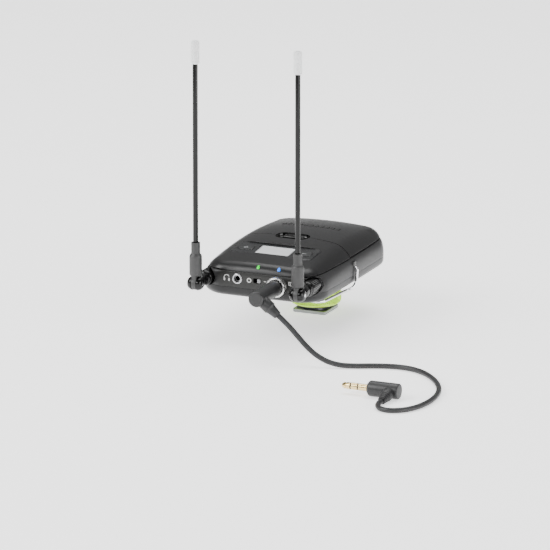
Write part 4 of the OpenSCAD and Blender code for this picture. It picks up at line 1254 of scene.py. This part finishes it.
class RECEIVER_OT_belt_clip(bpy.types.Operator):
    """Make the sprung wire clip and its bushes"""
    bl_idname = "receiver.belt_clip"
    bl_label = "Belt clip"

    def execute(self, context):
        half = [(31.9, -1.3, 9.2), (34.5, -1.3, 9.2), (35.3, -1.4, 8.5), (35.4, -1.6, 7.4), (35.4, -2.2, 3.2),
                (35.1, -3.1, 1.1), (34.1, -5, -0.6), (32.8, -7.6, -1.3), (31.8, -11, -1.45), (30.3, -29, -1.45),
                (29.6, -31.6, -1.45), (27.9, -33.4, -1.45), (25, -34, -1.45), (8, -34, -1.45)]
        route = smooth_route(half + [(-x, y, z) for x, y, z in reversed(half)], 4)
        piece("belt_clip_wire", swept(route, 0.78, 16), HOUSING, bright_metal("clip_wire", (0.8, 0.8, 0.81), 0.17),
              "clip", ["belt_clip"], angle=60)
        for side, name in ((-1, "left"), (1, "right")):
            x = side * (HALF_W - 1.3)
            bush = less(block((x - 1.1, -3.05, 5.85), (x + 1.1, 0.45, 12.55), 0.22),
                        shaft((x - 3, -1.3, 9.2), (1, 0, 0), 1.05, 6, 32))
            piece(f"{name}_clip_bush", bush, HOUSING, gloss_black("bush_black", 0.3), "housing",
                  ["clip_bushes"] if side > 0 else ())
        return {"FINISHED"}


class RECEIVER_OT_shoe_adapter(bpy.types.Operator):
    """Make the shoe adapter: plate, riser, stud, thumb wheel, washer and foot"""
    bl_idname = "receiver.shoe_adapter"
    bl_label = "Shoe adapter"

    def execute(self, context):
        look = context.scene.receiver_adapter
        matt = surface("adapter_black", (0.03, 0.03, 0.031), rough=0.42, grain=0.25, depth=0.015, edge=0.15)
        sheet = plate(44, 36, 4, [(0.5, 21), (0.12, 21.12), (0, 21.5), (0, 23.6), (0.12, 23.9), (0.4, 24)], 10)
        for x in (-18, 18):
            for y in (-14, 14):
                sheet = less(sheet, shaft((x, y, 20), (0, 0, 1), 2.25, 2.3, 32))
        piece("mount_plate_finished", sheet, SHOE, matt, "housing", ["mount_plate"])
        riser = turned(rounded([(0, 14.5), (9.8, 14.5), (11, 15.5), (11, 19.0), (13, 21), (0, 21)], 0.35, 3), 72)
        piece("mount_riser_finished", riser, SHOE, matt, "housing", ["mount_riser"])
        thread = [(0, 0.8)]
        h = 1.0
        while h < 18.0:
            thread += [(2.72, h), (2.98, h + 0.22), (2.72, h + 0.44)]
            h += 0.5
        thread += [(2.72, 18.4), (0, 18.4)]
        piece("mount_stud_finished", turned(thread, 40), SHOE, bright_metal("stud_steel", (0.62, 0.62, 0.63), 0.3),
              "housing", ["mount_stud"])
        lime = surface("wheel_lime", look.wheel, rough=0.34, metal=0.25, grain=0.35, depth=0.008, mottle=0.06,
                       polish=0.05, coat=0.15)
        r, t = WHEEL_R, WHEEL_H
        wheel = turned(rounded([(3.05, 0), (r - 1.3, 0), (r - 0.35, 0.75), (r - 0.35, 1.3), (r - 0.55, 1.4),
                                (r - 0.55, t - 1.4), (r - 0.35, t - 1.3), (r - 0.35, t - 0.75), (r - 1.3, t),
                                (8.2, t), (7.8, t - 0.35), (3.05, t - 0.35)], 0.12, 2, closed=True), 120, ring=True)
        wheel = grown(wheel, knurl_tree(), lime, Radius=r - 0.52, Count=look.knurls, Rows=look.rows, Ridge=0.6,
                      Height=t - 2.9, Low=1.45)
        piece("thumb_wheel_finished", wheel, SHOE @ Matrix.Translation((0, 0, WHEEL_Z)), lime, "wheel",
              ["thumb_wheel"])
        washer = turned(rounded([(3.05, 3.3), (9.9, 3.3), (10, 3.8), (9.9, 4.3), (3.05, 4.3)], 0.12, 2, closed=True),
                        72, ring=True)
        piece("clamp_washer_finished", washer, SHOE, rubber("washer_rubber", (0.03, 0.03, 0.03), 0.6), "washer",
              ["clamp_washer"])
        metal = surface("foot_metal", (0.3, 0.31, 0.32), rough=0.34, metal=0.9, grain=0.5, depth=0.006,
                        stretch=(1, 0.15, 1), edge=0.15)
        foot = joined(plate(18.6, 18, 1.4, [(0.35, 0), (0, 0.25), (0, 1.75), (0.3, 2)], 8),
                      turned(rounded([(0, 1.5), (6, 1.5), (6, 3.1), (0, 3.1)], 0.15, 2), 56))
        piece("shoe_foot_finished", foot, SHOE, metal, "housing", ["shoe_foot"])
        return {"FINISHED"}


class RECEIVER_OT_screws(bpy.types.Operator):
    """Make every group of cross-headed screws"""
    bl_idname = "receiver.screws"
    bl_label = "Screws"

    def execute(self, context):
        tree = screw_tree()
        steel = bright_metal("screw_steel", (0.55, 0.55, 0.57), 0.26)
        head_down = Matrix.Rotation(math.pi, 4, "X")
        spots = [(s * x, y, 0) for s in (-1, 1) for x, y in ((19.2, -43.4), (27, 40.4))]
        self.group("housing_screws", tree, steel, spots, HOUSING @ Matrix.Translation((0, 0, 1.1)), head_down,
                   Head=1.85, Height=0.9, Shank=0.95, Length=10.0)
        spots = [(x, y, 0) for x in (-18, 18) for y in (-14, 14)]
        self.group("mount_screws", tree, steel, spots, SHOE @ Matrix.Translation((0, 0, 22.3)), head_down,
                   Head=2.15, Height=1.1, Shank=1.1, Length=3.0)
        spots = [(s * 27, y, 0) for s in (-1, 1) for y in (-33, -8)]
        self.group("board_screws", tree, steel, spots, HOUSING @ Matrix.Translation((0, 0, 6.2)), Matrix(),
                   Head=1.6, Height=1.0, Shank=0.8, Length=4.2, Slot=0.35)
        return {"FINISHED"}

    @staticmethod
    def group(node, tree, steel, spots, level, turn, **sizes):
        local = [turn.inverted() @ Vector(p) for p in spots]
        mesh = grown(points_mesh(local), tree, steel, **sizes)
        piece(f"{node}_finished", moved(mesh, turn), level, steel, "housing", [node])


class RECEIVER_OT_inside(bpy.types.Operator):
    """Make the cells and their sprung contacts, and finish the boards inside"""
    bl_idname = "receiver.inside"
    bl_label = "Inside"

    def execute(self, context):
        look = context.scene.receiver_inside
        half = CELL_L / 2

        def bands(n, tint):
            """A coloured end on the wrap."""
            end = n.band("X", -0.030, -0.014, 0.0002)
            return n.mix(end, tint, (0.55, 0.3, 0.03, 1))

        wrap = surface("cell_wrap", look.wrap, rough=0.25, metal=0.4, grain=1.0, depth=0.004, coat=0.4, over=bands)
        tin = bright_metal("cell_steel", (0.7, 0.7, 0.7), 0.25)
        for name, y, way in (("front", CELL_Y[0], 1), ("rear", CELL_Y[1], -1)):
            cell = turned(rounded([(0, -half), (5.6, -half), (6.0, -half + 0.3), (6.6, -half), (7.2, -half + 0.5),
                                   (7.2, half - 1.9), (6.7, half - 1.3), (4.2, half - 1.35), (4.0, half - 1.1),
                                   (2.7, half - 1.1), (2.6, half - 0.1), (0, half)], 0.25, 3), 56)
            piece(f"{name}_cell_finished", moved(cell, along((0, y, CELL_Z), (way, 0, 0))), HOUSING, wrap, "housing",
                  [f"{name}_cell"], other=tin,
                  where=lambda p, y=y, way=way: p.x * way > half - 1.6 or p.x * way < -half + 0.4)
        tree = spring_tree()
        spring_metal = bright_metal("spring_nickel", (0.78, 0.76, 0.7), 0.24)
        for side, name, y in ((-1, "left", CELL_Y[0]), (1, "right", CELL_Y[1])):
            coil = grown(points_mesh([]), tree, spring_metal, Turns=look.turns, Wide=3.2, Narrow=2.0, Height=1.75,
                         Wire=0.24)
            x = side * (half + 2.2)
            sheet = block((x - 0.2, 5.6, CELL_Z - 5), (x + 0.2, 33.6, CELL_Z + 4), 0.12)
            button = shaft((x, CELL_Y[0] if side > 0 else CELL_Y[1], CELL_Z), (-side, 0, 0), 2.4, 0.7, 32)
            piece(f"{name}_contacts_finished",
                  joined(moved(coil, along((side * (half + 0.3), y, CELL_Z), (side, 0, 0))), sheet, button), HOUSING,
                  spring_metal, "housing", [f"{name}_contacts"])

        def tracks(n, tint):
            """Copper runs under the solder mask."""
            lines = n.add("ShaderNodeTexBrick", {"Vector": n.where, "Scale": 220.0, "Mortar Size": 0.05,
                                                 "Color1": (0, 0, 0, 1), "Color2": (0.1, 0.1, 0.1, 1),
                                                 "Mortar": (1, 1, 1, 1)})
            return n.mix(lines.outputs["Fac"], tint, rgba(look.board, 2.2))

        refinish("main_board", surface("board_green", look.board, rough=0.3, grain=0.8, depth=0.01, over=tracks))
        refinish("rf_shield", bright_metal("shield_tin", (0.65, 0.66, 0.66), 0.3))
        gold = bright_metal("port_nickel", (0.3, 0.3, 0.31), 0.3)
        for name in ("left_port", "right_port"):
            refinish(name, gold)
        return {"FINISHED"}


class RECEIVER_OT_stage(bpy.types.Operator):
    """Make the pale floor, the soft studio light and the camera"""
    bl_idname = "receiver.stage"
    bl_label = "Stage"

    def execute(self, context):
        look = context.scene.receiver_stage
        floor = bpy.data.meshes.new("floor")
        floor.from_pydata([(-8, -8, 0), (8, -8, 0), (8, 8, 0), (-8, 8, 0)], [], [(0, 1, 2, 3)])
        n = Nodes("floor_paper")
        n.give("Base Color", n.mix(n.spread(n.noise(60), 0, 1), rgba(look.floor, 0.99), rgba(look.floor)))
        n.give("Roughness", n.spread(n.noise(8), 0.7, 0.8))
        n.give("Specular IOR Level", 0.2)
        n.give("Emission Color", rgba(look.floor))
        n.give("Emission Strength", 1.2)
        floor.materials.append(n.finish)
        paper = bpy.data.objects.new("floor", floor)
        context.scene.collection.objects.link(paper)
        middle = Vector((0, -0.03, 0.04))
        lamps = (("overhead", (0.0, 0.35, 1.5), 1.5, 1.1, 26.0),
                 ("left_front", (-1.1, -1.1, 1.05), 1.2, 1.0, 40.0),
                 ("right_side", (1.5, -0.45, 0.3), 1.1, 1.0, 24.0),
                 ("front_box", (0.25, -1.6, 0.85), 0.5, 0.5, 8.0))
        for name, place, wide, tall, power in lamps:
            light = bpy.data.lights.new(name, "AREA")
            light.shape = "RECTANGLE"
            light.size, light.size_y = wide, tall
            light.energy = power * look.light
            lamp = bpy.data.objects.new(name, light)
            lamp.matrix_world = Matrix.Translation(place) @ (middle - Vector(place)).to_track_quat(
                "-Z", "Y").to_matrix().to_4x4()
            context.scene.collection.objects.link(lamp)
        world = bpy.data.worlds.new("studio")
        world.use_nodes = True
        tree = world.node_tree
        sky = tree.nodes["Background"]
        way = tree.nodes.new("ShaderNodeTexCoord")
        ahead = tree.nodes.new("ShaderNodeVectorMath")
        ahead.operation = "DOT_PRODUCT"
        ahead.inputs[1].default_value = (0.38, -0.92, 0.0)
        fade = tree.nodes.new("ShaderNodeMapRange")
        for key, value in (("From Min", -0.6), ("From Max", 0.8), ("To Min", 0.4), ("To Max", 0.03)):
            fade.inputs[key].default_value = value
        tree.links.new(way.outputs["Generated"], ahead.inputs[0])
        tree.links.new(ahead.outputs["Value"], fade.inputs["Value"])
        tree.links.new(fade.outputs["Result"], sky.inputs["Strength"])
        sky.inputs["Color"].default_value = (1, 1, 1, 1)
        context.scene.world = world
        self.camera(context.scene)
        return {"FINISHED"}

    @staticmethod
    def camera(scene):
        turn, rise = math.radians(CAMERA_TURN), math.radians(CAMERA_RISE)
        back = Vector((math.sin(turn) * math.cos(rise), -math.cos(turn) * math.cos(rise), math.sin(rise)))
        right = Vector((math.cos(turn), math.sin(turn), 0))
        up = back.cross(right)
        aim = HOUSING.translation + right * AIM_RIGHT + up * AIM_UP
        place = Matrix((right, up, back)).transposed().to_4x4()
        place.translation = aim + back * CAMERA_BACK
        data = bpy.data.cameras.new("camera")
        data.lens, data.sensor_width = CAMERA_LENS, 36.0
        data.dof.use_dof = False
        data.clip_start, data.clip_end = 0.05, 50
        camera = bpy.data.objects.new("camera", data)
        camera.matrix_world = place
        scene.collection.objects.link(camera)
        scene.camera = camera


class RECEIVER_PT_pieces(bpy.types.Panel):
    """Lists the makers and their settings"""
    bl_idname = "RECEIVER_PT_pieces"
    bl_label = "Receiver"
    bl_space_type = "VIEW_3D"
    bl_region_type = "UI"
    bl_category = "Receiver"

    def draw(self, context):
        for group in SETTINGS:
            box = self.layout.box()
            settings = getattr(context.scene, group)
            for key in settings.__annotations__:
                box.prop(settings, key)
        for maker in MAKERS:
            self.layout.operator(maker.bl_idname)


SETTINGS = {
    "receiver_housing": HousingSettings,
    "receiver_display": DisplaySettings,
    "receiver_row": PanelRowSettings,
    "receiver_antennas": AntennaSettings,
    "receiver_lead": LeadSettings,
    "receiver_adapter": AdapterSettings,
    "receiver_inside": InsideSettings,
    "receiver_stage": StageSettings,
}
MAKERS = (RECEIVER_OT_stage, RECEIVER_OT_lead, RECEIVER_OT_bottom_shell, RECEIVER_OT_side_band,
          RECEIVER_OT_top_cover, RECEIVER_OT_battery_door, RECEIVER_OT_latch, RECEIVER_OT_display,
          RECEIVER_OT_indicators, RECEIVER_OT_jack_row, RECEIVER_OT_antennas, RECEIVER_OT_belt_clip,
          RECEIVER_OT_shoe_adapter, RECEIVER_OT_screws, RECEIVER_OT_inside)


def register():
    for name, kind in SETTINGS.items():
        bpy.utils.register_class(kind)
        setattr(bpy.types.Scene, name, PointerProperty(type=kind))
    for kind in (*MAKERS, RECEIVER_PT_pieces):
        bpy.utils.register_class(kind)


def unregister():
    for kind in reversed((*MAKERS, RECEIVER_PT_pieces)):
        bpy.utils.unregister_class(kind)
    for name, kind in SETTINGS.items():
        delattr(bpy.types.Scene, name)
        bpy.utils.unregister_class(kind)


def corners(box):
    return [[float(value) for value in corner] for corner in box]


def main():
    register()
    for maker in MAKERS:
        area, name = maker.bl_idname.split(".")
        if "FINISHED" not in getattr(getattr(bpy.ops, area), name)():
            raise RuntimeError(maker.bl_label + " did not finish")


if __name__ == "__main__":
    main()
